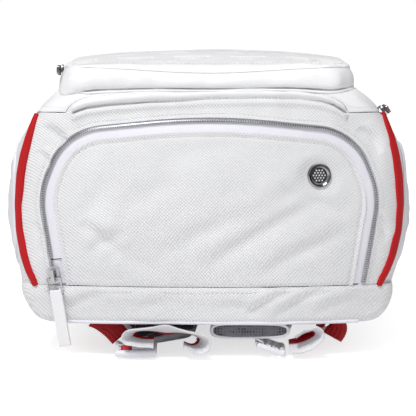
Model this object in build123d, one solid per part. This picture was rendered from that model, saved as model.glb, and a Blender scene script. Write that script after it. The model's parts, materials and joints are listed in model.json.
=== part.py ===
from build123d import *
import math
import os

# Racket backpack lying on its back panel, straps underneath, front pocket up.
# Frame: +X to the right seen from the shoe-compartment end, +Y from that end
# to the haul handle, +Z up out of the front pocket. z = 0 is the plane the
# shoulder straps rest on, x = 0 the middle. While modelling, y = 0 is the apex
# of the domed end; save() then moves every piece so that y = 0 is the middle of
# the whole length. All lengths in millimetres.

# ---- driving dimensions -------------------------------------------------
BODY_LEN = 480.0          # end dome to top of the bag
BODY_HALF_W = 150.0       # half width of the sewn body
BODY_DEPTH = 196.0        # back panel to front panel at TAPER_Y
BACK_Z = 30.0             # outer face of the back panel
TAPER = 0.16              # share of depth lost over TAPER_LEN
TAPER_Y, TAPER_LEN = 20.0, 340.0
SHELL_T = 3.0             # padded fabric laminate
END_R = 600.0             # radius of the domed end
END_Z = 120.0             # height of the dome's centre
RIM_R = 12.0              # rounding of the end panel's edge
TOP_R = 105.0             # corners of the bag's top, seen from the front
BACK_R, FRONT_R = 32.0, 60.0
GAP = 0.3                 # gap left at a sewn seam between two panels
SEAM_Z = 60.0             # boot to end panel seam, also the flap hinge
BOOT_LEN = 75.0
BACK_LIP_Z = 38.0         # back panel to side panel seam
SIDE_SEAM_Y = 26.0        # end panel to side panel seam
TOP_SEAM_Y = 374.0        # side panel to top panel seam
LID_Y = 16.0              # near edge of the opening front panel
LID_DROP = 25.5           # lid seam below the front panel
LID_MARGIN = 4.3          # seam line to the edge of the fabric on each side
CLEARANCE = 0.4           # gap around the body for pieces fitted to it
WEB_W, WEB_T = 25.0, 1.6  # strap webbing

MID_Y = 253.25            # middle of the whole length
MIN_VOLUME = 1.0          # smaller slivers are dropped

# limits of the cutting boxes, all clear of the bag
REACH = 200
NEAR_Y, FAR_Y = -20, 520
CEIL_Z = 300

SIDES = (("left", -1), ("right", 1))

SLOPE = TAPER * BODY_DEPTH / TAPER_LEN
TILT = math.degrees(math.atan(SLOPE))     # tilt of the front panel

os.makedirs("parts", exist_ok=True)


# ---- helpers ------------------------------------------------------------
def save(name, shape):
    solids = [s for s in shape.solids() if s.volume > MIN_VOLUME]
    out = solids[0] if len(solids) == 1 else Compound(children=solids)
    out = Pos(0, -MID_Y, 0) * out
    out.label = name
    export_step(out, f"parts/{name}.step")


def box(x0, x1, y0, y1, z0, z1):
    """Box between two corners; the x limits may come in either order."""
    return Pos((x0 + x1) / 2, (y0 + y1) / 2, (z0 + z1) / 2) * Box(
        abs(x1 - x0), y1 - y0, z1 - z0)


def across(y0, y1, z0, z1):
    """Box over the full width of the bag."""
    return box(-REACH, REACH, y0, y1, z0, z1)


def rod_x(y, z, radius, length):
    return Pos(0, y, z) * Rot(0, 90, 0) * Cylinder(radius, length)


def polygon(points):
    return make_face(Polyline(points, close=True))


def extrude_x(face, x0, amount, side=1):
    """Extrude a (y, z) outline from x0 towards the given side."""
    return extrude(Pos(x0, 0, 0) * (Plane.YZ * face), amount=amount, dir=(side, 0, 0))


def fabric_plane(origin, along, normal):
    """Working plane of a zip: z out of the fabric, y along the zip."""
    return Plane(origin=origin, x_dir=along.cross(normal), z_dir=normal)


# ---- the bag body -------------------------------------------------------
def body(inset):
    """The whole bag as one solid, all its faces moved inwards by inset."""
    start_y = -40
    half_w, far = BODY_HALF_W - inset, BODY_LEN - inset
    outline = polygon([(-half_w, start_y), (half_w, start_y), (half_w, far),
                       (-half_w, far)])
    outline = fillet([v for v in outline.vertices() if v.Y > 200], TOP_R - inset)
    out = extrude(Pos(0, 0, BACK_Z + inset) * outline, amount=300)
    low = [e for e in out.edges() if abs(e.center().Z - BACK_Z - inset) < 0.01
           and e.center().Y > start_y + 1]
    out = fillet(low, BACK_R - inset)
    below_front = Pos(0, TAPER_Y, BACK_Z + BODY_DEPTH) * Rot(-TILT, 0, 0) * Pos(
        0, 250, -inset - 300) * Box(600, 700, 600)
    out = out & below_front
    # edges of the front face: high up, following its slope, whole outline
    # but for the near end and short lengthwise pieces
    high = [e for e in out.edges() if e.center().Y > start_y + 1
            and e.center().Z > 150 and e.bounding_box().min.Z > 140
            and abs(e.bounding_box().size.Z - e.bounding_box().size.Y * SLOPE) < 1.0
            and not (e.length < 320 and e.bounding_box().size.X < 1)]
    out = fillet(high, FRONT_R - inset)
    out = out & (Pos(0, END_R, END_Z) * Sphere(END_R - inset))
    rim = [e for e in out.edges() if e.bounding_box().max.Y < 32]
    return fillet(rim, RIM_R - inset)


def skin(outer, inner):
    """Layer of the body between two insets."""
    return body(outer) - body(inner)


SHELL = skin(0.0, SHELL_T)
CLEAR = body(-CLEARANCE)     # cuts the pieces that sit on the body


def lid_z(y):
    """Height of the lid seam, which runs parallel to the front panel."""
    return BACK_Z + BODY_DEPTH - SLOPE * (y - TAPER_Y) - LID_DROP


def slab(low, high, y0):
    """Space beyond y0 between two heights above the lid seam."""
    return extrude_x(polygon([(y0, lid_z(y0) + low), (FAR_Y, lid_z(FAR_Y) + low),
                              (FAR_Y, lid_z(FAR_Y) + high), (y0, lid_z(y0) + high)]),
                     -REACH, 2 * REACH)


FRONT = Plane(origin=(0, TAPER_Y, BACK_Z + BODY_DEPTH), x_dir=(1, 0, 0),
              z_dir=(0, math.sin(math.radians(TILT)), math.cos(math.radians(TILT))))
# angle of the lid seam round the shoulder, above the side
SEAM_ANGLE = math.asin((FRONT_R - LID_DROP * math.cos(math.radians(TILT))) / FRONT_R)


def shoulder_plane(y, angle, side, lift=0.0):
    """Zip plane on the rounded shoulder, parallel to the front panel."""
    normal = (FRONT.x_dir * (side * math.cos(angle))
              + FRONT.z_dir * math.sin(angle))
    along = FRONT.y_dir
    centre = FRONT.from_local_coords(Vector(side * (BODY_HALF_W - FRONT_R), 0, -FRONT_R))
    origin = centre + normal * (FRONT_R + lift)
    origin = origin + along * ((y - origin.Y) / along.Y)
    return fabric_plane(origin, along, normal)


# ---- domed end and the outline of the shoe-compartment flap ---------------
# x, z, corner radius of the zip line seen from the end
FLAP_OUTLINE = [
    (-118, 20, 0), (-136.5, 135, 60), (-116, 185.5, 48), (0, 198, 500),
    (116, 185.5, 48), (136.5, 135, 60), (118, 20, 0)]


def unit(start, end):
    length = math.hypot(end[0] - start[0], end[1] - start[1])
    return (end[0] - start[0]) / length, (end[1] - start[1]) / length


def flap_face(offset):
    """The flap outline moved outwards by offset, corners rounded."""
    count = len(FLAP_OUTLINE)
    moved = []
    for i, (x, z, _) in enumerate(FLAP_OUTLINE):
        in_x, in_z = unit(FLAP_OUTLINE[i - 1], FLAP_OUTLINE[i])
        out_x, out_z = unit(FLAP_OUTLINE[i], FLAP_OUTLINE[(i + 1) % count])
        normal_in, normal_out = (-in_z, in_x), (-out_z, out_x)
        k = offset / (1 + normal_in[0] * normal_out[0] + normal_in[1] * normal_out[1])
        moved.append((x + (normal_in[0] + normal_out[0]) * k,
                      z + (normal_in[1] + normal_out[1]) * k))
    face = polygon(moved)
    for corner, (_, _, radius) in zip(moved, FLAP_OUTLINE):
        if radius:
            found = [v for v in face.vertices()
                     if math.hypot(v.X - corner[0], v.Y - corner[1]) < 0.01]
            face = fillet(found, radius + offset)
    return Plane.XZ * face


def flap_prism(offset, z_low=SEAM_Z + 1.0):
    return extrude(flap_face(offset), amount=60, both=True) & across(
        -50, 50, z_low, CEIL_Z)


def dome_skin(low, high):
    """Layer between two heights above the domed end."""
    centre = Pos(0, END_R, END_Z)
    return (centre * Sphere(END_R + high)) - (centre * Sphere(END_R + low))


def flap_band(inner, outer, layer, z_low):
    """Band along the zip line, between two offsets, within a dome layer."""
    band = flap_prism(outer, z_low) - flap_prism(inner, z_low - 5)
    return band & dome_skin(*layer) & across(NEAR_Y, 60, 0, CEIL_Z)


DOME_CENTRE = Vector(0, END_R, END_Z)


def dome_point(x, z, lift):
    radius = END_R + lift
    return Vector(x, END_R - math.sqrt(radius * radius - x * x - (z - END_Z) ** 2), z)


# ---- sewn shell panels --------------------------------------------------
lid_cut = slab(-LID_MARGIN, 120, LID_Y - 0.4)
end = SHELL & across(NEAR_Y, SIDE_SEAM_Y, SEAM_Z + GAP, CEIL_Z)
save("end_panel", end - lid_cut - flap_prism(5.0, SEAM_Z - 10))
save("bottom_boot", SHELL & across(NEAR_Y, BOOT_LEN, 0, SEAM_Z))
save("back_panel", SHELL & across(BOOT_LEN + GAP, FAR_Y, 0, BACK_LIP_Z))
rest = SHELL & across(SIDE_SEAM_Y + GAP, FAR_Y, BACK_LIP_Z + GAP, CEIL_Z)
rest = rest - lid_cut
rest = rest - across(NEAR_Y, BOOT_LEN + GAP, 0, SEAM_Z + GAP)
for name, side in SIDES:
    save(f"side_panel_{name}", rest & box(
        side * GAP / 2, side * REACH, NEAR_Y, TOP_SEAM_Y, 0, CEIL_Z))
save("top_panel", rest & across(TOP_SEAM_Y + GAP, FAR_Y, 0, CEIL_Z))
save("lid_panel", SHELL & slab(LID_MARGIN, 120, LID_Y))

# ---- main compartment zip, round the three free sides of the lid ---------
MAIN_PARK_Y = 40.0                 # where the slider sits, on the right
TAPE_IN, TAPE_OUT = 0.4, 4.1       # distances from the seam line
TEETH_IN, TEETH_OUT = 0.37, 1.9

teeth_skin = skin(-1.2, 0.9)
tape_skin = skin(1.1, 1.8)
# the upper half is left out where the zip is open, up to the slider
opened = box(100, REACH, 0, MAIN_PARK_Y + 12, 100, CEIL_Z)
save("main_zip_tape_lower", tape_skin & slab(-TAPE_OUT, -TAPE_IN, LID_Y + 0.4))
save("main_zip_teeth_lower", teeth_skin & slab(-TEETH_OUT, -TEETH_IN, LID_Y + 2))
save("main_zip_tape_upper",
     (tape_skin & slab(TAPE_IN, TAPE_OUT, LID_Y + 0.4)) - opened)
save("main_zip_teeth_upper",
     (teeth_skin & slab(TEETH_IN, TEETH_OUT, SIDE_SEAM_Y + 1)) - opened)

# ---- shoe-compartment flap and its zip -------------------------------------
EYELET_X, EYELET_Z = 88.0, 151.0
ZIP_HALF = 2.8            # half width of the meshed teeth
ZIP_SPLIT = 0.45          # half gap between the two rows
TAPE_LAYER = (-1.6, -0.8)     # heights above the dome
TEETH_LAYER = (-0.6, 1.0)

eyelet_centre = dome_point(EYELET_X, EYELET_Z, 0)
eyelet_normal = (eyelet_centre - DOME_CENTRE).normalized()
EYELET = Plane(origin=eyelet_centre,
               x_dir=(1, -eyelet_normal.X / eyelet_normal.Y, 0), z_dir=eyelet_normal)

save("shoe_flap_panel", (flap_prism(-9.0) & dome_skin(-SHELL_T, 0.0))
     - (EYELET * Cylinder(7.6, 30)))
# the inner half is left out below the parked slider
park_cut = box(-REACH, -100, NEAR_Y, 60, 0, 81.0)
save("shoe_zip_tape_outer", flap_band(0.6, 4.7, TAPE_LAYER, SEAM_Z + GAP))
save("shoe_zip_teeth_outer",
     flap_band(ZIP_SPLIT, ZIP_HALF, TEETH_LAYER, SEAM_Z + 4))
save("shoe_zip_tape_inner",
     flap_band(-8.7, -0.6, TAPE_LAYER, SEAM_Z + 1.2) - park_cut)
save("shoe_zip_teeth_inner",
     flap_band(-ZIP_HALF, -ZIP_SPLIT, TEETH_LAYER, SEAM_Z + 4) - park_cut)

# ---- mesh eyelet in the flap -----------------------------------------------
# radius, height above the flap
RING_PROFILE = [(6.6, -4.4), (7.2, -4.4), (7.2, 0.15), (9.7, 0.15), (9.7, 0.9),
                (9.25, 1.65), (8.6, 1.9), (7.6, 1.2), (6.6, 0.8)]
WASHER_PROFILE = [(7.3, -4.3), (9.5, -4.3), (9.5, -3.4), (7.3, -3.4)]
MESH_R, MESH_T = 6.45, 0.7
HOLE_R, HOLE_PITCH = 0.78, 2.35
ROW_RATIO = 0.866         # row spacing over hole pitch
MIDDLE_ROW = 5            # holes in the longest row


def turned(profile):
    return revolve(Plane.XZ * polygon(profile), axis=Axis.Z)


def eyelet_mesh():
    """Disc with a hexagon of holes."""
    holes = []
    for i in range(-2, 3):
        row = MIDDLE_ROW - abs(i)
        for j in range(row):
            holes.append(Pos((j - (row - 1) / 2) * HOLE_PITCH,
                             i * HOLE_PITCH * ROW_RATIO, MESH_T / 2)
                         * Cylinder(HOLE_R, 2))
    return Pos(0, 0, MESH_T / 2) * Cylinder(MESH_R, MESH_T) - holes


save("eyelet_ring", EYELET * turned(RING_PROFILE))
save("eyelet_mesh", EYELET * eyelet_mesh())
save("eyelet_washer", EYELET * turned(WASHER_PROFILE))

# ---- flat sheets inside the bag, and the yoke joining the straps -------------
SHEETS = {    # x0, x1, y0, y1, z0, z1
    "racket_divider": (-146, 146, 28, 372, 68, 72),
    "shoe_compartment_wall": (-130, 130, 149, 151, 72.4, 182),
    "frame_sheet": (-104, 104, 90, 400, 34.0, 36.0),
    "strap_yoke": (-84, 84, 434.5, 452, 17, 29.4),
}
for name, limits in SHEETS.items():
    save(name, box(*limits))

# ---- outside of the back panel -------------------------------------------
pads = []
for _, side in SIDES:
    pad = box(side * 18, side * 96, 130, 372, 24.0, 29.6)
    pads.append(fillet(pad.edges().filter_by(Axis.Z), 22).solid())
save("back_pads", Compound(children=pads))

# ---- edge stripes on the two end corners -----------------------------------
stripes = (body(-2.0) & across(19.0, 25.6, 64, 194)) - CLEAR
for name, side in SIDES:
    save(f"side_stripe_{name}",
         stripes & box(side * 120, side * REACH, 0, 60, 0, CEIL_Z))

# ---- gusseted side pockets ------------------------------------------------
SIDE_PK_Y0, SIDE_PK_Y1 = 46.0, 330.0
SIDE_PK_Z = 116           # height of the fullest line
SIDE_PK_X = 170           # how far out the pocket bulges
SIDE_PK_T = 2.2
CROSS_R, LENGTH_R = 82, 620    # bulge seen from the end and from the front


def side_pocket(side):
    outline = polygon([(SIDE_PK_Y0, 71), (SIDE_PK_Y1, 71), (SIDE_PK_Y1, 143),
                       (SIDE_PK_Y0, 170)])
    outline = fillet(outline.vertices(), 24)
    prism = extrude_x(outline, side * (BODY_HALF_W + CLEARANCE), 30, side)
    mid_y = (SIDE_PK_Y0 + SIDE_PK_Y1) / 2

    def pillow(inset):
        tube = Pos(side * (SIDE_PK_X - CROSS_R), mid_y, SIDE_PK_Z) * Rot(
            90, 0, 0) * Cylinder(CROSS_R - inset, 400)
        drum = Pos(side * (SIDE_PK_X - LENGTH_R), mid_y, SIDE_PK_Z) * Cylinder(
            LENGTH_R - inset, 400)
        return tube & drum & prism

    return pillow(0) - pillow(SIDE_PK_T)


for name, side in SIDES:
    save(f"side_pocket_{name}", side_pocket(side))

# ---- straight zips: one on each shoulder, one low on the right side ----------
ZIP_LEN = 210.0
SIDE_ZIP_Y = 60.0
SIDE_ZIP_ANGLE = SEAM_ANGLE - 12.0 / FRONT_R     # 12 mm round from the lid seam
RACKET_ZIP_Y, RACKET_ZIP_Z = 150.0, 64.8
SLIDER_LIFT = 2.7
SLIDER_END = 14.0         # slider to the end of the zip


def side_zip_plane(y, side, lift=0.0):
    return shoulder_plane(y, SIDE_ZIP_ANGLE, side, lift)


def racket_zip_plane(y, lift=0.0):
    return fabric_plane(Vector(BODY_HALF_W + lift, y, RACKET_ZIP_Z),
                        Vector(0, 1, 0), Vector(1, 0, 0))


tapes, rows = [], []
for plane in (side_zip_plane(SIDE_ZIP_Y, -1), side_zip_plane(SIDE_ZIP_Y, 1),
              racket_zip_plane(RACKET_ZIP_Y)):
    tape = plane * Pos(0, ZIP_LEN / 2, 0.85) * Box(9.6, ZIP_LEN + 8, 0.8)
    tapes.append(tape.solid())
    for side in (-1, 1):
        row = plane * Pos(side * 1.6, ZIP_LEN / 2, 2.05) * Box(2.3, ZIP_LEN, 1.4)
        rows.append(row.solid())
save("side_zip_tapes", Compound(children=tapes))
save("side_zip_teeth", Compound(children=rows))

# ---- sliders and pulls ----------------------------------------------------
PIN_Y, PIN_Z = -2.6, 3.9       # pull's cross pin in the slider's bridge
ARM_W, ARM_T = 1.4, 1.7
END_BAR_R = 0.8
BRIDGE_W = 3.0
TONGUE_HALF_W, TONGUE_LEN = 2.8, 26
TONGUE_START = 8.6             # pin to the solid part of the tongue
SHOE_LINK_LEN = 12.0
TAB_START, TAB_LEN = 9.4, 47.0


def slider():
    """Slider: top plate over the teeth, a cheek each side, a bridge."""
    plate = Pos(0, 0, 1.65) * Box(9.4, 14, 1.2)
    out = fillet(plate.edges().filter_by(Axis.Z), 3.0)
    for side in (-1, 1):
        out += Pos(side * 3.95, 0, 0.15) * Box(1.2, 11, 2.0)
    for post in (-1, 1):
        out += Pos(0, post * 4.6, 4.2) * Box(BRIDGE_W, 1.4, 4.4)
    bar = Pos(0, 0, 6.05) * Box(BRIDGE_W, 10.6, 1.3)
    bar = fillet(bar.edges().filter_by(Axis.X).group_by(Axis.Z)[-1], 0.9)
    return out + bar


def link(half_w, length):
    """Metal link: cross pin in the slider's bridge, two arms and an end bar."""
    out = rod_x(PIN_Y, PIN_Z, 0.9, 2 * half_w + 1.6)
    for side in (-1, 1):
        out += Pos(side * (half_w + 0.6), PIN_Y - length / 2, PIN_Z) * Box(
            ARM_W, length, ARM_T)
    out += rod_x(PIN_Y - length + END_BAR_R, PIN_Z, END_BAR_R, 2 * half_w + 1.6)
    return out


def tongue():
    """One-piece metal puller: pin, arms and a solid tongue."""
    length = TONGUE_LEN - TONGUE_START
    blade = Pos(0, PIN_Y - TONGUE_START - length / 2, PIN_Z) * Box(
        2 * TONGUE_HALF_W + 1.2, length, 1.6)
    return link(TONGUE_HALF_W, 10) + fillet(blade.edges().filter_by(Axis.Z), 1.6)


def shoe_tab():
    """Long tab hung on the end bar of the shoe zip's link."""
    tab = Pos(0, PIN_Y - TAB_START - TAB_LEN / 2, PIN_Z) * Box(9.6, TAB_LEN, 2.4)
    tab = fillet(tab.edges().filter_by(Axis.X), 1.1)
    return tab - rod_x(PIN_Y - SHOE_LINK_LEN + END_BAR_R, PIN_Z, 0.95, 12)


def flap_leg_point(z):
    """Point just above the dome on the straight left leg of the zip line."""
    (x0, z0, _), (x1, z1, _) = FLAP_OUTLINE[:2]
    return dome_point(x0 + (x1 - x0) * (z - z0) / (z1 - z0), z, 0.9)


# shoe zip: the slider is parked low on the left leg of the flap
park = flap_leg_point(69.0)
leg_dir = (flap_leg_point(119.0) - park).normalized()
leg_normal = (park - DOME_CENTRE).normalized()
leg_normal = (leg_normal - leg_dir * leg_normal.dot(leg_dir)).normalized()
SHOE = fabric_plane(park, leg_dir, leg_normal)
save("shoe_zip_slider", SHOE * slider())
save("shoe_pull_link", SHOE * link(5.2, SHOE_LINK_LEN))
save("shoe_pull_tab", SHOE * shoe_tab())

# slider piece, pull piece, zip plane
ZIP_SLIDERS = [("main_zip_slider", "main_zip_pull",
                shoulder_plane(MAIN_PARK_Y, SEAM_ANGLE, 1, 1.1)),
               ("racket_zip_slider", "racket_zip_pull",
                racket_zip_plane(RACKET_ZIP_Y + SLIDER_END, SLIDER_LIFT))]
for name, side in SIDES:
    ZIP_SLIDERS.append((
        f"side_zip_slider_{name}", f"side_zip_pull_{name}",
        side_zip_plane(SIDE_ZIP_Y + ZIP_LEN - SLIDER_END, side, SLIDER_LIFT)))
for slider_name, pull_name, plane in ZIP_SLIDERS:
    save(slider_name, plane * slider())
    save(pull_name, plane * tongue())

# ---- front pocket on the lid, modelled on the FRONT plane --------------------
POCKET_X, POCKET_Y0, POCKET_Y1 = 118.0, 2.0, 300.0
POCKET_NEAR_R, POCKET_FAR_R = 24, 60
WALL_TOP, RIM_LOW = 6.5, 11.7      # the zip fills the gap between these
POCKET_PARK_Y = 36.0
POCKET_T = 2.5
CROWN_R, CROWN_Z = 1000.0, 28      # domed face of the pocket
ZIP_EDGE, ZIP_H = 0.3, 2.1         # clearance to the fabric, far edge of a row


def pocket_outline(inset):
    half_w = POCKET_X - inset
    y0, y1 = POCKET_Y0 + inset, POCKET_Y1 - inset
    face = polygon([(-half_w, y0), (half_w, y0), (half_w, y1), (-half_w, y1)])
    face = fillet([v for v in face.vertices() if v.Y < 50], POCKET_NEAR_R - inset)
    return fillet([v for v in face.vertices() if v.Y > 50], POCKET_FAR_R - inset)


def pocket_prism(inset, z0, z1):
    return extrude(Pos(0, 0, z0) * pocket_outline(inset), amount=z1 - z0)


def pocket_ring(outer, inner, z0, z1):
    """Wall round the pocket between two insets."""
    return pocket_prism(outer, z0, z1) - pocket_prism(inner, z0 - 6, z1 + 6)


def near_end(y1, x1=REACH):
    """Region of the pocket up to y1, from the left side to x1."""
    return box(-REACH, x1, -5, y1, -5, 40)


save("front_pocket_wall", FRONT * pocket_ring(0, POCKET_T, -24, WALL_TOP) - CLEAR)
hinge = near_end(POCKET_PARK_Y - 10)
lower = pocket_ring(0.3, 2.3, WALL_TOP + ZIP_EDGE, WALL_TOP + ZIP_H) - hinge
upper = pocket_ring(0.3, 2.3, RIM_LOW - ZIP_H, RIM_LOW - ZIP_EDGE) - hinge
save("pocket_zip_lower", FRONT * lower)
save("pocket_zip_upper", FRONT * (upper - near_end(POCKET_PARK_Y + 14, 0)))
fold = pocket_ring(0.4, 2.2, WALL_TOP + 0.3, RIM_LOW - 0.4)
save("pocket_hinge_fold", FRONT * (fold & near_end(POCKET_PARK_Y - 12)))

crown = Pos(0, (POCKET_Y0 + POCKET_Y1) / 2, CROWN_Z - CROWN_R)
face_outer = pocket_prism(0, RIM_LOW, 60) & (crown * Sphere(CROWN_R))
face_inner = pocket_prism(POCKET_T, RIM_LOW - 5, 60) & (
    crown * Sphere(CROWN_R - POCKET_T))
save("pocket_face", FRONT * (face_outer - face_inner))

POCKET_ZIP = fabric_plane(
    FRONT.from_local_coords(
        Vector(-POCKET_X - 0.5, POCKET_PARK_Y, (WALL_TOP + RIM_LOW) / 2)),
    FRONT.y_dir, Vector(-1, 0, 0))
# this slider has no cheeks
save("pocket_zip_slider", POCKET_ZIP * (slider() - box(-6, -3.3, -20, 20, -5, 1.05)
                                        - box(3.3, 6, -20, 20, -5, 1.05)))
save("pocket_zip_pull", POCKET_ZIP * tongue())

# ---- ladder-lock buckles ----------------------------------------------------
LOCK_BAR_Y = 9.6
SLOT_W = 27
LOCK_TILT = math.radians(20)
LOCK_LEFT = Pos(-60, 18, 6.6)
LOCK_RIGHT = Plane(origin=(50, 24, 8.0), x_dir=(0, 1, 0),
                   z_dir=(math.sin(LOCK_TILT), 0, math.cos(LOCK_TILT)))


def ladderlock():
    """Ladder-lock buckle, flat: its hinge bar on +Y, its grip on -Y."""
    frame = Box(34, 24, 4.4)
    frame = fillet(frame.edges().filter_by(Axis.Z), 4.0)
    for slot_y, slot_len in ((9.5, 9.4), (0.9, 3.6), (-5.6, 3.6)):
        frame = frame - Pos(0, slot_y, 0) * Box(SLOT_W, slot_len, 10)
    bar = rod_x(LOCK_BAR_Y, 0, 1.6, 30)
    grip = rod_x(-10.6, 0.9, 2.4, 31)
    return frame + bar + grip


def keeper():
    """Webbing loop that holds the buckle's bar."""
    tube = Rot(0, 90, 0) * (Cylinder(3.1, 24) - Cylinder(1.9, 30))
    return Pos(0, LOCK_BAR_Y, 0) * tube


save("ladderlock_left", LOCK_LEFT * ladderlock())
save("ladderlock_right", LOCK_RIGHT * ladderlock())

# ---- webbing ----------------------------------------------------------------
# near edge y, then the (x, z) points of the centre line
WEBBING = {
    "webbing_tail_left": (0.0, [
        (-46, 12.4), (-58, 13.2), (-67.5, 17.4), (-64, 24.4), (-50, 26.4),
        (-30, 25.4), (-12, 22.0), (-3.4, 16.5), (-3.6, 9.5), (-10, 6.2),
        (-20, 9.5)]),
    "lower_webbing_left": (28.0, [(-92, 27.4), (-84, 25.6), (-77, 20), (-73, 13)]),
    "webbing_tail_right": (5.0, [
        (64.5, 8.0), (72, 8.6), (82, 12.5), (88.5, 18.5), (86.0, 24.0),
        (77, 21.5), (70, 16.5)]),
    "lower_webbing_right": (33.0, [(94, 27.6), (102, 25.5), (104, 18.5), (99, 12)]),
}
RIBBON_STEPS = 40


def ribbon(y0, points):
    """A flat webbing strip: its centre line in the X-Z plane, its width along Y."""
    spine = Spline(*[(x, z, 0) for x, z in points])
    half_t = WEB_T / 2
    left, right = [], []
    for i in range(RIBBON_STEPS + 1):
        point = spine.position_at(i / RIBBON_STEPS)
        tangent = spine.tangent_at(i / RIBBON_STEPS)
        left.append((point.X - tangent.Y * half_t, point.Y + tangent.X * half_t))
        right.append((point.X + tangent.Y * half_t, point.Y - tangent.X * half_t))
    a, b = Spline(*left), Spline(*right)
    face = make_face([a, Line(a @ 1, b @ 1), b, Line(b @ 0, a @ 0)])
    return Pos(0, y0, 0) * extrude(Plane.XZ * face, amount=-WEB_W)


for name, (y0, points) in WEBBING.items():
    save(name, ribbon(y0, points))

anchors = []
for _, side in SIDES:
    patch = polygon([(side * 72, 70), (side * 118, 70), (side * 106, 118),
                     (side * 84, 118)])
    anchors.append(extrude(Pos(0, 0, 27.4) * patch, amount=2.2).solid())
save("webbing_anchors", Compound(children=anchors))

# ---- shoulder straps --------------------------------------------------------
# plan outlines, (x, y)
PLAN_LEFT = [(-10, 432), (-80, 432), (-80, 380), (-74, 180), (-70, 84),
             (-69, 46), (-51, 46), (-12, 84), (-8, 180), (-12, 380)]
PLAN_RIGHT = [(10, 432), (80, 432), (80, 380), (74, 180), (68, 84),
              (64, 14), (2, 14), (4, 84), (8, 180), (12, 380)]
# side profiles, (y, z); both straps share the far part
UPPER_FAR = [(140, 15.2), (260, 16), (350, 17.5), (405, 22.8), (432, 23.6)]
LOWER_FAR = [(432, 14.6), (405, 12), (350, 5.5), (300, 1.8), (250, 0)]
UPPER_LEFT = [(46, 9.5), (64, 12.5), (90, 14.6)]
LOWER_LEFT = [(110, 0), (92, 0.6), (66, 2.4), (46, 4.2)]
UPPER_RIGHT = [(14, 27.8), (34, 27.4), (58, 24.6), (86, 18.8)]
LOWER_RIGHT = [(120, 0), (100, 2.2), (70, 10.6), (44, 15.6), (14, 16.8)]


def strap(plan, upper_near, lower_near):
    """A padded strap; its lowest stretch is straight and lies on z = 0."""
    upper = upper_near + UPPER_FAR
    profile = make_face([
        Spline(*upper), Line(upper[-1], LOWER_FAR[0]), Spline(*LOWER_FAR),
        Line(LOWER_FAR[-1], lower_near[0]), Spline(*lower_near),
        Line(lower_near[-1], upper[0])])
    band = extrude(Plane.YZ * profile, amount=120, both=True)
    return extrude(Pos(0, 0, -20) * plan, amount=80) & band


plan = polygon(PLAN_LEFT)
plan = fillet([v for v in plan.vertices() if 50 < v.Y < 400], 12)
left = strap(plan, UPPER_LEFT, LOWER_LEFT)
left += LOCK_LEFT * keeper()
left += box(-72, -48, 30.2, 47, 5.6, 7.8)        # joins the keeper to the pad
save("strap_left", left)

plan = polygon(PLAN_RIGHT)
plan = fillet([v for v in plan.vertices() if v.Y < 400], 10)
right = strap(plan, UPPER_RIGHT, LOWER_RIGHT)
right += LOCK_RIGHT * keeper()
right += box(34.5, 41, 14, 36, 13.6, 17.5)       # joins the keeper to the pad
save("strap_right", right)

# ---- haul handle ------------------------------------------------------------
HANDLE_X, HANDLE_Y, HANDLE_Z = 47.3, 486.0, 84.5     # pivot of each leg
LEG_T = 2.4
HALF_WEB = WEB_W / 2
LEG_PROFILE = [     # y, z from the pivot
    (-0.5, -4), (11, -HALF_WEB), (18.5, -HALF_WEB), (18.5, HALF_WEB),
    (11, HALF_WEB), (-0.5, 4)]

leg_face = polygon([(HANDLE_Y + y, HANDLE_Z + z) for y, z in LEG_PROFILE])
handle = box(-HANDLE_X - LEG_T / 2, HANDLE_X + LEG_T / 2, HANDLE_Y + 15.5,
             HANDLE_Y + 18.5, HANDLE_Z - HALF_WEB, HANDLE_Z + HALF_WEB)
for _, side in SIDES:
    handle += extrude_x(leg_face, side * HANDLE_X - LEG_T / 2, LEG_T)
    handle += Pos(side * HANDLE_X, 0, 0) * rod_x(HANDLE_Y, HANDLE_Z, 4.0, LEG_T)
grip = box(-34, 34, HANDLE_Y + 13.5, HANDLE_Y + 20.5, HANDLE_Z - 14.2, HANDLE_Z + 14.2)
handle += fillet(grip.edges().filter_by(Axis.X), 3.0)
save("haul_handle", handle)

feet = [box(side * 49.0, side * 52.0, BODY_LEN + CLEARANCE, 491,
            HANDLE_Z - 5, HANDLE_Z + 5).solid() for _, side in SIDES]
save("handle_anchors", Compound(children=feet))

# ---- piping along the boot's lower edge -------------------------------------
piping = Pos(0, END_R + 3.2, 31.4) * Torus(596, 2.0)
save("boot_piping", (piping & box(-104, 104, -10, 60, 0, 60)) - CLEAR)
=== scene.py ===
"""A white racket bag lying back down on its shoulder straps, its domed near end to the viewer.

Shapes are worked out in the bag frame, in mm: x runs across (left is -x), y from the domed
near end to the far arch, z up from the floor. to_world() turns them into metres.
The front panel is the upper side. It slopes down towards the far end and has a frame of its
own, the tilted frame (see tilt).
"""

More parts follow.
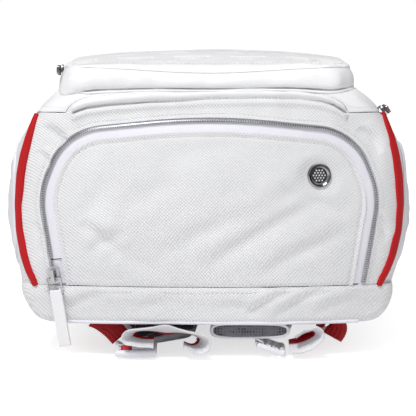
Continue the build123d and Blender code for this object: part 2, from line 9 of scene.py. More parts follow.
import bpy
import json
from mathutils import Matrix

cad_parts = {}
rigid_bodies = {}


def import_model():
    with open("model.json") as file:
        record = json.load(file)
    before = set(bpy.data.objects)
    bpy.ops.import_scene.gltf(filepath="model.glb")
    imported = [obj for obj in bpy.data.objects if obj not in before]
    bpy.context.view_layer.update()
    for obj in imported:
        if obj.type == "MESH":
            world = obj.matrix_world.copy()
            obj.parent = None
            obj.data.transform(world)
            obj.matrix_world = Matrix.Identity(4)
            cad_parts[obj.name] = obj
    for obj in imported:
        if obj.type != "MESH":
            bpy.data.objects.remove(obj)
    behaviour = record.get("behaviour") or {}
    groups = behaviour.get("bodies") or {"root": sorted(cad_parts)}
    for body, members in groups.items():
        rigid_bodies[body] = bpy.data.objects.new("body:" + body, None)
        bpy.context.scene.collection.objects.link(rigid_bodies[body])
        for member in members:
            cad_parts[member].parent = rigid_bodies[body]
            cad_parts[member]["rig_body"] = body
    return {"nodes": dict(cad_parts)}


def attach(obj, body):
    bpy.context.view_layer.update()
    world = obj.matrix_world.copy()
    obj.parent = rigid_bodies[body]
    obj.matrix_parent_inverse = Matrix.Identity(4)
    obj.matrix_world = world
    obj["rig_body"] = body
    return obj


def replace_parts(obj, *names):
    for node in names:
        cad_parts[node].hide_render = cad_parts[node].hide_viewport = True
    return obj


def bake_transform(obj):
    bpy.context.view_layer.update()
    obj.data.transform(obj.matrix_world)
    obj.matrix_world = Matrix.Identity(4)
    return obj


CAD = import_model()["nodes"]
import json
import math

import bmesh
import bpy
import numpy as np
from mathutils import Vector

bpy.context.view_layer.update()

PI = math.pi
UP = np.array([0.0, 0.0, 1.0])
DOWN = -UP
SIDES = (("left", -1), ("right", 1))

# Driving sizes of the bag
MID_Y = 253.25                      # depth that lands on the world origin
HALF_W, BAG_LEN = 150.0, 480.0
ARCH_R = 105.0                      # plan corners at the far end
BACK_Z, BACK_R = 30.0, 32.0         # flat back and its rounded edge
FRONT_R, NEAR_R = 60.0, 14.0        # shoulder to the front panel, edge of the near end
DOME_R, DOME_Z = 600.0, 120.0       # sphere of the near end
FRONT_Y, FRONT_Z = 20.0, 226.0      # origin of the tilted frame
SLOPE = 0.09223529                  # fall of the front panel per mm of depth
COS_TILT, SIN_TILT = math.cos(math.atan(SLOPE)), math.sin(math.atan(SLOPE))
EDGE_Z = BACK_Z + BACK_R            # where the back's rounded edge meets the wall
ARCH_X, ARCH_Y = HALF_W - ARCH_R, BAG_LEN - ARCH_R
SEAM_PHI = math.asin((FRONT_R - 25.5 * COS_TILT) / FRONT_R)   # main zip on the shoulder
SEAM_LOCAL_Z = -25.4                # main zip in the tilted frame
SEAM_LIFT = 3.3                     # half width of the main opening


# ------------------------------------------------------------------ small maths
def bell(v, width, power=2):
    return np.exp(-(v / width) ** power)


def ramp(v, start, span):
    return np.clip((v - start) / span, 0, 1)


def past(v, start):
    return np.maximum(v - start, 0)


def smoothstep(v):
    return v * v * (3 - 2 * v)


def signed_power(v, power):
    return np.sign(v) * np.abs(v) ** power


def unit(v):
    return v / np.maximum(np.linalg.norm(v, axis=-1, keepdims=True), 1e-9)


def square_off(vecs, along):
    """Unit vectors with their part along the given directions taken out."""
    return unit(vecs - (vecs * along).sum(1)[:, None] * along)


def circle(count):
    return np.linspace(0, 2 * PI, count, endpoint=False)


def round_max(a, b, radius):
    """Joins two distance fields with a rounded edge."""
    return (np.hypot(np.maximum(a + radius, 0), np.maximum(b + radius, 0))
            + np.minimum(np.maximum(a + radius, b + radius), 0) - radius)


def waves(pts, wavelength, seed):
    """Smooth random waviness, about one unit high."""
    rng = np.random.RandomState(seed)
    count = 9
    total = np.zeros(len(pts))
    for _ in range(count):
        heading = rng.normal(size=3)
        heading /= np.linalg.norm(heading)
        span = wavelength * (0.7 + 0.9 * rng.rand())
        total += np.sin(pts @ heading * 2 * PI / span + rng.rand() * 6.28)
    return total / math.sqrt(count)


def crease(plane_pts, valleys):
    """Soft valleys; each row is (start a, start b, end a, end b, half width, depth)."""
    height = np.zeros(len(plane_pts))
    for a0, b0, a1, b1, width, depth in valleys:
        start = np.array([a0, b0], float)
        run = np.array([a1, b1], float) - start
        share = np.clip(((plane_pts - start) @ run) / (run @ run), 0, 1)
        normal = np.array([-run[1], run[0]]) / np.linalg.norm(run)
        off = (plane_pts - start - share[:, None] * run) @ normal - 3.0 * np.sin(share * 3.1)
        fade = np.sin(PI * share) ** 0.6
        height += -depth * bell(off, width) * fade
        height += 0.55 * depth * bell(off - 2.1 * width, 1.3 * width) * fade
    return height


# ------------------------------------------------------------------ the bag's surface
def tilt(local):
    """Tilted frame -> bag frame."""
    x, y, z = local.T
    return np.stack([x, FRONT_Y + y * COS_TILT + z * SIN_TILT,
                     FRONT_Z - y * SIN_TILT + z * COS_TILT], 1)


def to_world(pts):
    return (np.asarray(pts, float).reshape(-1, 3) - np.array([0, MID_Y, 0])) * 0.001


def smooth_shell(pts, back_z=BACK_Z, back_r=BACK_R, near_r=NEAR_R):
    """Distance field of the bag before any bulges; negative inside."""
    x, y, z = pts.T
    qx, qy = np.abs(x) - ARCH_X, y - ARCH_Y
    plan = (np.hypot(np.maximum(qx, 0), np.maximum(qy, 0))
            + np.minimum(np.maximum(qx, qy), 0) - ARCH_R)
    field = round_max(plan, back_z - z, back_r)
    front = (z - FRONT_Z) * COS_TILT + (y - FRONT_Y) * SIN_TILT
    field = round_max(field, front, FRONT_R)
    dome = np.sqrt(x * x + (y - DOME_R) ** 2 + (z - DOME_Z) ** 2) - DOME_R
    return round_max(field, dome, near_r + 7.5 * ramp(z, 196, 22))


def sag(x, y):
    """How far the front panel hangs in the middle of its near edge."""
    return 5.6 * bell(x, 74) * bell(past(y, 26), 44)


def bulge(pts):
    """How far the soft cloth stands out from the smooth shell."""
    x, y, z = pts.T
    side = ramp(np.abs(x), 110, 40)
    swell = (1 - bell(past(y, 8), 23)) * bell(past(y, 130), 210)
    reach_z = np.where(z > 118, 66.0, np.where(x < 0, 62.0, 50.0))
    out = side * bell(z - 118, reach_z, 4) * (0.6 + 9.8 * swell)
    # held flat along the side zips, and along the low zip on the right
    local_z = (z - FRONT_Z) * COS_TILT + (y - FRONT_Y) * SIN_TILT
    out *= 1 - ramp(y, 26, 30) * bell(local_z + 30.6, 13, 4)
    out *= 1 - ramp(x, 0, 40) * ramp(y, 100, 35) * bell(z - 64.8, 10, 4)
    out -= 2.2 * side * ramp(x, 0, 40) * bell(z - 54, 20) * bell(past(y, 60), 40)
    # crowned front panel, sagging at the near edge between two raised corners
    top = ramp(z, 190, 40)
    out += 2.2 * top * bell(x, 120) * ramp(y, 24, 60)
    out -= top * sag(x, y)
    out += 2.0 * top * bell(np.abs(x) - 106, 20) * bell(y - 24, 26)
    return out + 0.38 * waves(pts, 120, 3)


def bag(pts):
    return smooth_shell(pts) - bulge(pts)


def boot_form(pts):
    """The same bag with the fuller, squarer edge of the boot."""
    return smooth_shell(pts, back_z=27.6, back_r=24.0, near_r=7.5) - bulge(pts)


def gradient(pts, field=bag, step=0.08):
    out = np.zeros_like(pts)
    for i in range(3):
        shift = np.zeros(3)
        shift[i] = step
        out[:, i] = (field(pts + shift) - field(pts - shift)) / (2 * step)
    return out


def normals(pts, field=bag):
    return unit(gradient(pts, field))


def project(pts, steps=7):
    """Moves points onto the bag's surface."""
    pts = np.array(pts, float).reshape(-1, 3)
    for _ in range(steps):
        grad = gradient(pts)
        pts -= (bag(pts) / np.maximum((grad * grad).sum(1), 0.2))[:, None] * grad
    return pts


def dome_y(x, z):
    return DOME_R - np.sqrt(DOME_R ** 2 - x ** 2 - (z - DOME_Z) ** 2)


def on_dome(xz):
    """Points on the domed near end for each (x, z), found along y."""
    x, z = xz.T
    pts = np.stack([x, dome_y(x, z), z], 1)
    for _ in range(14):
        value = bag(pts)
        rate = (bag(pts + [0, 0.1, 0]) - value) / 0.1
        pts[:, 1] -= np.clip(value / np.minimum(rate, -0.25), -6, 6)
    return pts


def on_end(xz, lift=0.0):
    """Lifted points on the near end, with their normals."""
    pts = on_dome(xz)
    norms = normals(pts)
    return pts + norms * lift, norms


def reach(point_at, low, high, count, field=bag):
    """How far along each of count rays the surface lies, by halving."""
    near, far = np.full(count, low), np.full(count, high)
    for _ in range(40):
        mid = (near + far) / 2
        inside = field(point_at(mid)) < 0
        near, far = np.where(inside, mid, near), np.where(inside, far, mid)
    return near


def top_points(xy):
    """Points of the bag's upper surface over each (x, y)."""
    height = reach(lambda z: np.column_stack([xy, z]), 150.0, 250.0, len(xy))
    return np.column_stack([xy, height])


# ------------------------------------------------------------------ curves and grids
def travel(curve):
    return np.r_[0, np.cumsum(np.linalg.norm(np.diff(curve, axis=0), axis=1))]


def length(curve):
    return travel(curve)[-1]


def look_up(at, stations, table):
    return np.stack([np.interp(at, stations, column) for column in table.T], 1)


def shut(curve):
    return np.vstack([curve, curve[:1]])


def resample(curve, count, closed=False, spacing=1.0):
    """Points at even steps; a spacing above 1 crowds them towards the start."""
    if closed:
        curve = shut(curve)
    dist = travel(curve)
    at = np.linspace(0, 1, count, endpoint=not closed) ** spacing * dist[-1]
    return look_up(at, dist, curve)


def crossing(a, b, level):
    """Point between a and b whose second coordinate is level."""
    return a + (level - a[1]) / (b[1] - a[1]) * (b - a)


def rounded(points, radii, closed=False):
    """A polygon with its corners rounded by 17-point arcs."""
    pts = [np.array(p, float) for p in points]
    count = len(pts)
    out = [] if closed else [pts[0]]
    for i in range(count) if closed else range(1, count - 1):
        corner, radius = pts[i], radii[i]
        to_prev, to_next = unit(pts[i - 1] - corner), unit(pts[(i + 1) % count] - corner)
        half = math.acos(np.clip(to_prev @ to_next, -1, 1)) / 2
        centre = corner + unit(to_prev + to_next) * (radius / math.sin(half))
        leg = radius / math.tan(half)
        start = corner + to_prev * leg - centre
        stop = corner + to_next * leg - centre
        angle = math.atan2(start[1], start[0])
        sweep_angle = (math.atan2(stop[1], stop[0]) - angle + PI) % (2 * PI) - PI
        for k in range(17):
            a = angle + sweep_angle * k / 16
            out.append(centre + radius * np.array([math.cos(a), math.sin(a)]))
    if not closed:
        out.append(pts[-1])
    return np.array(out)


def outline(spokes, radius_x, radius_y, count):
    """Plan outline and outward normals from rows of (centre x, centre y, angle)."""
    x, y, angle = spokes.T
    c, s = np.cos(angle), np.sin(angle)
    # the normals ride along, scaled down so they do not count as length
    rows = np.column_stack([x + radius_x * c, y + radius_y * s, c * 1e-6, s * 1e-6])
    rows = resample(rows, count)
    return rows[:, :2], unit(rows[:, 2:])


def coons(bottom, top, left, right):
    """Grid from four edges; bottom/top run along u, left/right along v."""
    u = np.linspace(0, 1, len(bottom))[:, None, None]
    v = np.linspace(0, 1, len(left))[None, :, None]
    corners = ((1 - u) * (1 - v) * bottom[0] + u * (1 - v) * bottom[-1]
               + (1 - u) * v * top[0] + u * v * top[-1])
    return ((1 - v) * bottom[:, None, :] + v * top[:, None, :]
            + (1 - u) * left[None] + u * right[None] - corners)


def sweep(curve, ups, profile):
    """Sweeps a profile of (across, up) along a curve -> grid."""
    along = unit(np.gradient(curve, axis=0))
    ups = square_off(ups, along)
    across = np.cross(along, ups)
    profile = np.asarray(profile, float)
    return (curve[:, None, :] + across[:, None, :] * profile[None, :, :1]
            + ups[:, None, :] * profile[None, :, 1:])


def rounded_bar(half, rows, sides, taper, centre, radii, powers):
    """Bar along x with a squarish section; taper is (run, least share, power)."""
    xs = np.linspace(-half, half, rows)
    run, least, power = taper
    swell = np.clip((half - np.abs(xs)) / run, least, 1)[:, None] ** power
    c, s = signed_power(np.cos(circle(sides)), powers[0]), signed_power(
        np.sin(circle(sides)), powers[1])
    x = np.broadcast_to(xs[:, None], (rows, sides))
    grid = np.stack([x, centre[0] + swell * radii[0] * c, centre[1] + swell * radii[1] * s], 2)
    middle = np.stack([x, np.full(x.shape, centre[0]), np.full(x.shape, centre[1])], 2)
    return grid.reshape(-1, 3), middle.reshape(-1, 3), grid.shape


# ------------------------------------------------------------------ materials
BAND = 0.6283       # wave texture scale times the pitch of its bands in metres


def new_material(name):
    mat = bpy.data.materials.new(name)
    mat.use_nodes = True
    return mat, mat.node_tree, mat.node_tree.nodes["Principled BSDF"]


def object_coords(tree):
    return tree.nodes.new("ShaderNodeTexCoord").outputs["Object"]


def math_node(tree, operation, *values):
    node = tree.nodes.new("ShaderNodeMath")
    node.operation = operation
    for i, value in enumerate(values):
        if isinstance(value, bpy.types.NodeSocket):
            tree.links.new(value, node.inputs[i])
        else:
            node.inputs[i].default_value = value
    return node.outputs[0]


def weighted(tree, *terms):
    """Sum of (socket, weight) terms."""
    total = None
    for socket, weight in terms:
        term = math_node(tree, "MULTIPLY", socket, weight)
        total = term if total is None else math_node(tree, "ADD", total, term)
    return total


def wave_node(tree, coord, scale, stretch=(1, 1, 1), direction="DIAGONAL", distortion=0.0):
    mapping = tree.nodes.new("ShaderNodeMapping")
    mapping.inputs["Scale"].default_value = stretch
    tree.links.new(coord, mapping.inputs["Vector"])
    wave = tree.nodes.new("ShaderNodeTexWave")
    wave.bands_direction = direction
    wave.inputs["Scale"].default_value = scale
    wave.inputs["Distortion"].default_value = distortion
    wave.inputs["Detail"].default_value = 1.0
    tree.links.new(mapping.outputs[0], wave.inputs["Vector"])
    return wave.outputs["Fac"]


def noise_node(tree, coord, scale, detail=3.0):
    noise = tree.nodes.new("ShaderNodeTexNoise")
    noise.inputs["Scale"].default_value = scale
    noise.inputs["Detail"].default_value = detail
    tree.links.new(coord, noise.inputs["Vector"])
    return noise.outputs["Fac"]


def voronoi_node(tree, coord, feature, scale):
    cells = tree.nodes.new("ShaderNodeTexVoronoi")
    cells.feature = feature
    cells.inputs["Scale"].default_value = scale
    tree.links.new(coord, cells.inputs["Vector"])
    return cells


def finish(tree, shader, height, depth, strength, blend, rough, rough_gain=0.06, colours=None):
    """Bump from height; colour (dark, light) and roughness from blend."""
    bump = tree.nodes.new("ShaderNodeBump")
    bump.inputs["Distance"].default_value = depth
    bump.inputs["Strength"].default_value = strength
    tree.links.new(height, bump.inputs["Height"])
    tree.links.new(bump.outputs[0], shader.inputs["Normal"])
    if colours:
        mix = tree.nodes.new("ShaderNodeMix")
        mix.data_type = "RGBA"
        mix.inputs["A"].default_value = (*colours[0], 1)
        mix.inputs["B"].default_value = (*colours[1], 1)
        tree.links.new(blend, mix.inputs["Factor"])
        tree.links.new(mix.outputs["Result"], shader.inputs["Base Color"])
    gain = math_node(tree, "MULTIPLY", blend, rough_gain)
    tree.links.new(math_node(tree, "ADD", gain, rough), shader.inputs["Roughness"])


def twill(name, dark, light, pitch, rough=0.55, depth=0.00022):
    """Two crossing sets of diagonal ribs; pitch in mm."""
    mat, tree, shader = new_material(name)
    coord = object_coords(tree)
    scale = BAND / (pitch * 1.414e-3)
    ribs = wave_node(tree, coord, scale, distortion=0.6)
    cross_ribs = wave_node(tree, coord, scale * 0.96, stretch=(-1, 1.07, 0.93), distortion=0.6)
    fuzz = noise_node(tree, coord, scale=900.0, detail=2.0)
    blotch = noise_node(tree, coord, scale=14.0)
    height = weighted(tree, (ribs, 0.75), (cross_ribs, 0.45), (fuzz, 0.35))
    blend = weighted(tree, (height, 0.45), (blotch, 0.35))
    finish(tree, shader, height, depth, 0.8, blend, rough, colours=(dark, light))
    shader.inputs["Sheen Weight"].default_value = 0.15
    return mat


def leather(name, dark, light, rough=0.42):
    """Fine pebbled grain with soft blotches."""
    mat, tree, shader = new_material(name)
    coord = object_coords(tree)
    cells = voronoi_node(tree, coord, "SMOOTH_F1", scale=700.0)
    grain = noise_node(tree, coord, scale=240.0, detail=4.0)
    blotch = noise_node(tree, coord, scale=11.0)
    height = weighted(tree, (cells.outputs["Distance"], 0.7), (grain, 0.6))
    blend = weighted(tree, (grain, 0.4), (blotch, 0.6))
    finish(tree, shader, height, 0.00018, 0.55, blend, rough, colours=(dark, light))
    return mat


def satin(name, dark, light, pitch=0.55, rough=0.38, sheen=0.2):
    """Fine close weave; pitch in mm."""
    mat, tree, shader = new_material(name)
    coord = object_coords(tree)
    weave = wave_node(tree, coord, BAND / (pitch * 1e-3))
    cross_weave = wave_node(tree, coord, BAND / (pitch * 1.3e-3), stretch=(1, -1, -1))
    blotch = noise_node(tree, coord, scale=60.0)
    height = weighted(tree, (weave, 0.6), (cross_weave, 0.5))
    blend = weighted(tree, (height, 0.35), (blotch, 0.5))
    finish(tree, shader, height, 0.0001, 0.6, blend, rough, colours=(dark, light))
    shader.inputs["Sheen Weight"].default_value = sheen
    return mat


def air_mesh(name, dark, light, scale=420.0):
    """Near-regular dark holes in a lighter net."""
    mat, tree, shader = new_material(name)
    cells = voronoi_node(tree, object_coords(tree), "F1", scale)
    cells.inputs["Randomness"].default_value = 0.25
    steps = tree.nodes.new("ShaderNodeValToRGB")
    steps.color_ramp.elements[0].position = 0.28
    steps.color_ramp.elements[1].position = 0.5
    tree.links.new(cells.outputs["Distance"], steps.inputs[0])
    net = steps.outputs[0]
    finish(tree, shader, net, 0.0005, 0.8, net, rough=0.7, colours=(dark, light))
    return mat


def metal(name, colours, rough, scale=180.0):
    mat, tree, shader = new_material(name)
    coord = object_coords(tree)
    patches = noise_node(tree, coord, scale, detail=4.0)
    grain = noise_node(tree, coord, scale * 9, detail=2.0)
    shader.inputs["Metallic"].default_value = 1.0
    finish(tree, shader, grain, 0.00004, 0.4, patches, rough, rough_gain=0.14, colours=colours)
    return mat


def chrome(name):
    """Polished metal with a painted reflection: bands of light and dark, set by the viewing angle,
    are painted into its colour.
    """
    mat = metal(name, None, rough=0.09, scale=60.0)
    tree = mat.node_tree
    facing = tree.nodes.new("ShaderNodeLayerWeight")
    facing.inputs["Blend"].default_value = 0.55
    node = tree.nodes.new("ShaderNodeValToRGB")
    # painted reflection: the ramp paints dark and light bands into the base colour by facing
    bands = node.color_ramp.elements
    bands[0].position, bands[0].color = 0.0, (0.55, 0.55, 0.57, 1)
    bands[1].position, bands[1].color = 1.0, (0.75, 0.75, 0.78, 1)
    for position, grey in ((0.16, 0.05), (0.34, 0.02), (0.46, 0.7), (0.62, 0.12), (0.8, 0.5)):
        bands.new(position).color = (grey, grey, grey * 1.04, 1)
    tree.links.new(facing.outputs["Facing"], node.inputs[0])
    tree.links.new(node.outputs[0], tree.nodes["Principled BSDF"].inputs["Base Color"])
    return mat


def plastic(name, dark, light, rough, subsurface=0.0):
    mat, tree, shader = new_material(name)
    coord = object_coords(tree)
    grain = noise_node(tree, coord, scale=500.0)
    patches = noise_node(tree, coord, scale=30.0, detail=2.0)
    finish(tree, shader, grain, 0.00003, 0.4, patches, rough, rough_gain=0.1,
           colours=(dark, light))
    if subsurface:
        shader.inputs["Subsurface Weight"].default_value = subsurface
        shader.inputs["Subsurface Radius"].default_value = (0.003, 0.003, 0.003)
    return mat


def webbing(name, dark, light, sheen):
    mat, tree, shader = new_material(name)
    coord = object_coords(tree)
    ribs = wave_node(tree, coord, 0.6284 / 2.2e-3, direction="Y")
    weave = wave_node(tree, coord, BAND / 0.8e-3, stretch=(1, 1, -1))
    patches = noise_node(tree, coord, scale=90.0, detail=2.0)
    height = weighted(tree, (ribs, 0.9), (weave, 0.3))
    blend = weighted(tree, (height, 0.5), (patches, 0.3))
    finish(tree, shader, height, 0.00025, 0.7, blend, rough=0.5, colours=(dark, light))
    shader.inputs["Sheen Weight"].default_value = sheen
    return mat


TWILL = twill("white_twill", dark=(0.64, 0.64, 0.665), light=(0.95, 0.95, 0.955),
              pitch=1.9, depth=0.0005)
LEATHER = leather("white_coated", dark=(0.78, 0.78, 0.80), light=(0.91, 0.91, 0.915))
LILAC = satin("lilac_satin", dark=(0.77, 0.76, 0.84), light=(0.90, 0.89, 0.945))
KNIT = twill("pocket_knit", dark=(0.68, 0.68, 0.71), light=(0.88, 0.88, 0.895),
             pitch=1.1, rough=0.6)
RED = satin("red_satin", dark=(0.40, 0.005, 0.008), light=(0.62, 0.009, 0.014),
            pitch=0.7, rough=0.62, sheen=0.0)
RED.node_tree.nodes["Principled BSDF"].inputs["Specular IOR Level"].default_value = 0.25
MESH = air_mesh("grey_air_mesh", dark=(0.045, 0.045, 0.055), light=(0.16, 0.16, 0.18))
LINING = twill("grey_lining", dark=(0.27, 0.28, 0.31), light=(0.42, 0.43, 0.47),
               pitch=1.0, rough=0.6)
GUNMETAL = metal("gunmetal", ((0.16, 0.16, 0.17), (0.42, 0.42, 0.44)), rough=0.22)
SILVER = metal("silver_metal", ((0.38, 0.38, 0.40), (0.72, 0.72, 0.74)), rough=0.2)
TOOTH = metal("tooth_metal", ((0.50, 0.50, 0.52), (0.84, 0.84, 0.87)), rough=0.28)
# painted shade: a darker copy of the tooth metal for the shadowed outer row of the shoe zip
TOOTH_PAINTED_SHADE = metal("tooth_metal_painted_shade", ((0.20, 0.20, 0.21), (0.52, 0.52, 0.54)), rough=0.3)
CHROME_PAINTED_REFLECTION = chrome("chrome_ring_painted_reflection")
BLACK = plastic("black_disc", dark=(0.006, 0.006, 0.007), light=(0.02, 0.02, 0.022), rough=0.35)
MOULDED = plastic("white_moulded", dark=(0.80, 0.80, 0.86), light=(0.88, 0.88, 0.93),
                  rough=0.22, subsurface=0.15)
SOFT_TAB = plastic("soft_tab", dark=(0.80, 0.80, 0.82), light=(0.88, 0.88, 0.90), rough=0.5)
STIFFENER = plastic("stiffener_sheet", dark=(0.05, 0.05, 0.055), light=(0.09, 0.09, 0.10),
                    rough=0.5)
THREAD = satin("white_thread", dark=(0.62, 0.62, 0.66), light=(0.86, 0.86, 0.88),
               pitch=0.4, rough=0.6)
WEBBING = [
    webbing("webbing_white", dark=(0.66, 0.66, 0.70), light=(0.88, 0.88, 0.90), sheen=0.2),
    webbing("webbing_red", dark=(0.32, 0.004, 0.008), light=(0.60, 0.010, 0.018), sheen=0.0)]


# ------------------------------------------------------------------ mesh builders
def shade_smooth(obj):
    polys = obj.data.polygons
    polys.foreach_set("use_smooth", np.ones(len(polys), bool))


def make(name, verts, faces, mats, body="pack", slot=None, ids=None, smooth=True):
    """Object from bag-frame points; mats is one material or a list, ids picks per face."""
    mats = mats if isinstance(mats, list) else [mats]
    mesh = bpy.data.meshes.new(name)
    mesh.from_pydata([tuple(v) for v in to_world(verts)], [],
                     [tuple(int(i) for i in face) for face in faces])
    mesh.update()
    obj = bpy.data.objects.new(name, mesh)
    bpy.context.scene.collection.objects.link(obj)
    for mat in mats:
        mesh.materials.append(mat)
    if ids is not None:
        mesh.polygons.foreach_set("material_index", np.asarray(ids, np.int32))
    if smooth:
        shade_smooth(obj)
    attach(obj, body)
    return obj


def grid_faces(nu, nv, wrap_u=False, wrap_v=False):
    a, b = np.meshgrid(np.arange(nu if wrap_u else nu - 1),
                       np.arange(nv if wrap_v else nv - 1), indexing="ij")
    a, b = a.ravel(), b.ravel()
    a2, b2 = (a + 1) % nu, (b + 1) % nv
    return np.stack([a * nv + b, a2 * nv + b, a2 * nv + b2, a * nv + b2], 1)


def tube_faces(rings, sides):
    return grid_faces(rings, sides, wrap_v=True)[:, [0, 3, 2, 1]]


def orient(grid, faces, out):
    """Turns the grid's faces to look along out: one vector, one per row or one per point."""
    out = np.asarray(out, float)
    if out.size == grid.size:
        out = out.reshape(grid.shape)
    out = np.broadcast_to(out, grid.shape).reshape(-1, 3)
    verts = grid.reshape(-1, 3)
    corner = verts[faces[:, 0]]
    norms = np.cross(verts[faces[:, 1]] - corner, verts[faces[:, 3]] - corner)
    return faces[:, ::-1] if (norms * out[faces[:, 0]]).sum() < 0 else faces


def sheet(name, grid, mats, out, thick=0.0, lined=False, wrap_u=False, wrap_v=False,
          pick=None, offset=-1.0, **where):
    """A grid of points as a smooth sheet; pick gives each face centre a material index."""
    nu, nv = grid.shape[:2]
    faces = orient(grid, grid_faces(nu, nv, wrap_u, wrap_v), out)
    verts = grid.reshape(-1, 3)
    ids = pick(verts[faces].mean(1)) if pick else None
    obj = make(name, verts, faces, mats, ids=ids, **where)
    if thick:
        # the sheet's own borders stay sharp once it is thickened
        mesh = obj.data
        uses = np.zeros(len(mesh.edges), np.int32)
        loop_edges = np.zeros(len(mesh.loops), np.int32)
        mesh.loops.foreach_get("edge_index", loop_edges)
        np.add.at(uses, loop_edges, 1)
        sharp = (mesh.attributes.get("sharp_edge")
                 or mesh.attributes.new("sharp_edge", "BOOLEAN", "EDGE"))
        sharp.data.foreach_set("value", uses == 1)
        mod = obj.modifiers.new("thick", "SOLIDIFY")
        mod.thickness, mod.offset = thick * 0.001, offset
        mod.use_even_offset = False
        if lined:
            mesh.materials.append(LINING)
            mod.material_offset = len(mesh.materials) - 1
            mod.material_offset_rim = 0
    return obj


def cord(name, curve, radius, sides=8, flatten=1.0, ups=UP, closed=False, mat=LILAC, **where):
    """A round cord along a curve; flatten scales it along ups."""
    if closed:
        along = unit(np.roll(curve, -1, 0) - np.roll(curve, 1, 0))
    else:
        along = unit(np.gradient(curve, axis=0))
    ups = square_off(np.broadcast_to(ups, curve.shape), along)
    across = np.cross(along, ups)
    angle = circle(sides)
    grid = (curve[:, None] + across[:, None] * (np.cos(angle) * radius)[None, :, None]
            + ups[:, None] * (np.sin(angle) * radius * flatten)[None, :, None])
    return sheet(name, grid, mat, grid - curve[:, None], wrap_u=closed, wrap_v=True, **where)


def tape(name, curve, ups, profile, side=1, thick=0.6, body="pack"):
    """Lilac zip tape; profile is (across, up), mirrored when side is -1."""
    profile = np.array(profile, float) * [side, 1]
    return sheet(name, sweep(curve, ups, profile), LILAC, ups[:, None], thick=thick, body=body)


def stitches(name, curve, ups, pitch=3.4, size=2.3, radius=0.33, lift=0.15, **where):
    """A row of short flattened threads, as one mesh."""
    sides = 6
    rows = resample(np.hstack([curve, np.broadcast_to(ups, curve.shape)]),
                    max(2, int(length(curve) / pitch)))
    mid, ups = rows[:, :3], unit(rows[:, 3:])
    along = unit(np.gradient(mid, axis=0))
    across = unit(np.cross(along, ups))
    over = np.cross(across, along)
    angle = circle(sides)[:, None]
    section = across[:, None] * np.cos(angle) + over[:, None] * (0.7 * np.sin(angle))
    # share of the length, share of the radius
    rings = np.array([(0.0, 0.35), (0.12, 0.85), (0.5, 1.0), (0.88, 0.85), (1.0, 0.35)])
    centres = (mid + ups * lift)[:, None] + along[:, None] * (size * (rings[:, :1] - 0.5))
    verts = centres[:, :, None] + section[:, None] * (radius * rings[:, 1])[:, None, None]
    each = sides * len(rings)
    starts = np.arange(len(mid)) * each
    faces = list((starts[:, None, None] + tube_faces(len(rings), sides)).reshape(-1, 4))
    for start in starts:
        faces += [range(start, start + sides)[::-1], range(start + each - sides, start + each)]
    return make(name, verts.reshape(-1, 3), faces, THREAD, **where)


def teeth(name, curve, ups, side, mat=TOOTH, phase=0.0, pitch=1.9, across=(-0.35, 2.9),
          up=(-0.5, 1.35), along=0.55, body="pack"):
    """One row of zip teeth: small chamfered blocks, reaching out to the given side."""
    dist = travel(curve)
    at = (np.arange(int(dist[-1] / pitch)) + 0.5 + phase) * pitch
    at = at[at < dist[-1]]
    centre = look_up(at, dist, curve)
    heading = unit(look_up(at, dist, np.gradient(curve, axis=0)))
    ups = square_off(look_up(at, dist, ups), heading)
    cross = np.cross(heading, ups) * side
    (a0, a1), (u0, u1) = across, up
    block = np.array([(a0, u0), (a1, u0), (a1, u1 - 0.45), (a1 - 0.5, u1 - 0.22),
                      (a0 + 0.45, u1), (a0, u1 - 0.35)])
    half = along * np.where(block[:, 1] == u1, 0.8, 1)
    ends = (np.array([-1, 1])[:, None] * half)[:, :, None]
    verts = (centre[:, None, None] + cross[:, None, None] * block[:, :1]
             + ups[:, None, None] * block[:, 1:] + heading[:, None, None] * ends)
    n = len(block)
    base = [tuple(range(n))[::-1], tuple(range(n, 2 * n))]
    base += [(j, (j + 1) % n, n + (j + 1) % n, n + j) for j in range(n)]
    if side < 0:
        base = [face[::-1] for face in base]
    faces = [[i * 2 * n + q for q in face] for i in range(len(centre)) for face in base]
    return make(name, verts.reshape(-1, 3), faces, mat, body=body, smooth=False)


def close_rings(obj, rings, material=0, smooth=False):
    """Fills rings of vertices, each given with the direction it should face."""
    bm = bmesh.new()
    bm.from_mesh(obj.data)
    bm.verts.ensure_lookup_table()
    for ring, facing in rings:
        face = bm.faces.new([bm.verts[int(i)] for i in ring])
        face.normal_update()
        if face.normal.dot(Vector(facing)) < 0:
            face.normal_flip()
        face.material_index = material
        face.smooth = smooth
        bmesh.ops.triangulate(bm, faces=[face])
    bm.to_mesh(obj.data)
    bm.free()


# ------------------------------------------------------------------ lines on the near end
# Outline of the shoe zip: x, z, corner radius
D_CORNERS = [(-118, 20, 0), (-136.5, 135, 60), (-116, 185.5, 48), (0, 198, 500),
             (116, 185.5, 48), (136.5, 135, 60), (118, 20, 0)]
D_LINE = resample(rounded([row[:2] for row in D_CORNERS], [row[2] for row in D_CORNERS]), 900)
_heading = unit(np.gradient(D_LINE, axis=0))
D_OUTWARD = np.stack([-_heading[:, 1], _heading[:, 0]], 1)


def d_curve(offset, z_low, count):
    """The shoe zip's outline moved outward by offset and cut off at z_low."""
    curve = D_LINE + D_OUTWARD * offset
    above = np.where(curve[:, 1] >= z_low)[0]
    i, j = above[0], above[-1]
    return resample(np.vstack([crossing(curve[i - 1], curve[i], z_low), curve[i:j + 1],
                               crossing(curve[j + 1], curve[j], z_low)]), count)


# Red stripe down each end corner: z, |x| on the left, x on the right
STRIPE = np.array([
    (60.5, 141.2, 137.6), (72, 146.6, 143.4), (84, 150.4, 147.8), (104, 154.2, 152.6),
    (125, 155.0, 154.4), (148, 152.8, 153.0), (164, 149.6, 150.2), (180, 145.2, 146.2),
    (192, 141.2, 142.2), (203, 137.0, 138.2)])


def stripe_xz(side, count, z0, z1):
    z = np.linspace(z0, z1, count)
    x = np.interp(z, STRIPE[:, 0], STRIPE[:, 1 if side < 0 else 2])
    x = np.convolve(np.pad(x, 4, mode="reflect", reflect_type="odd"), np.ones(9) / 9, "valid")
    return np.stack([side * x, z], 1)


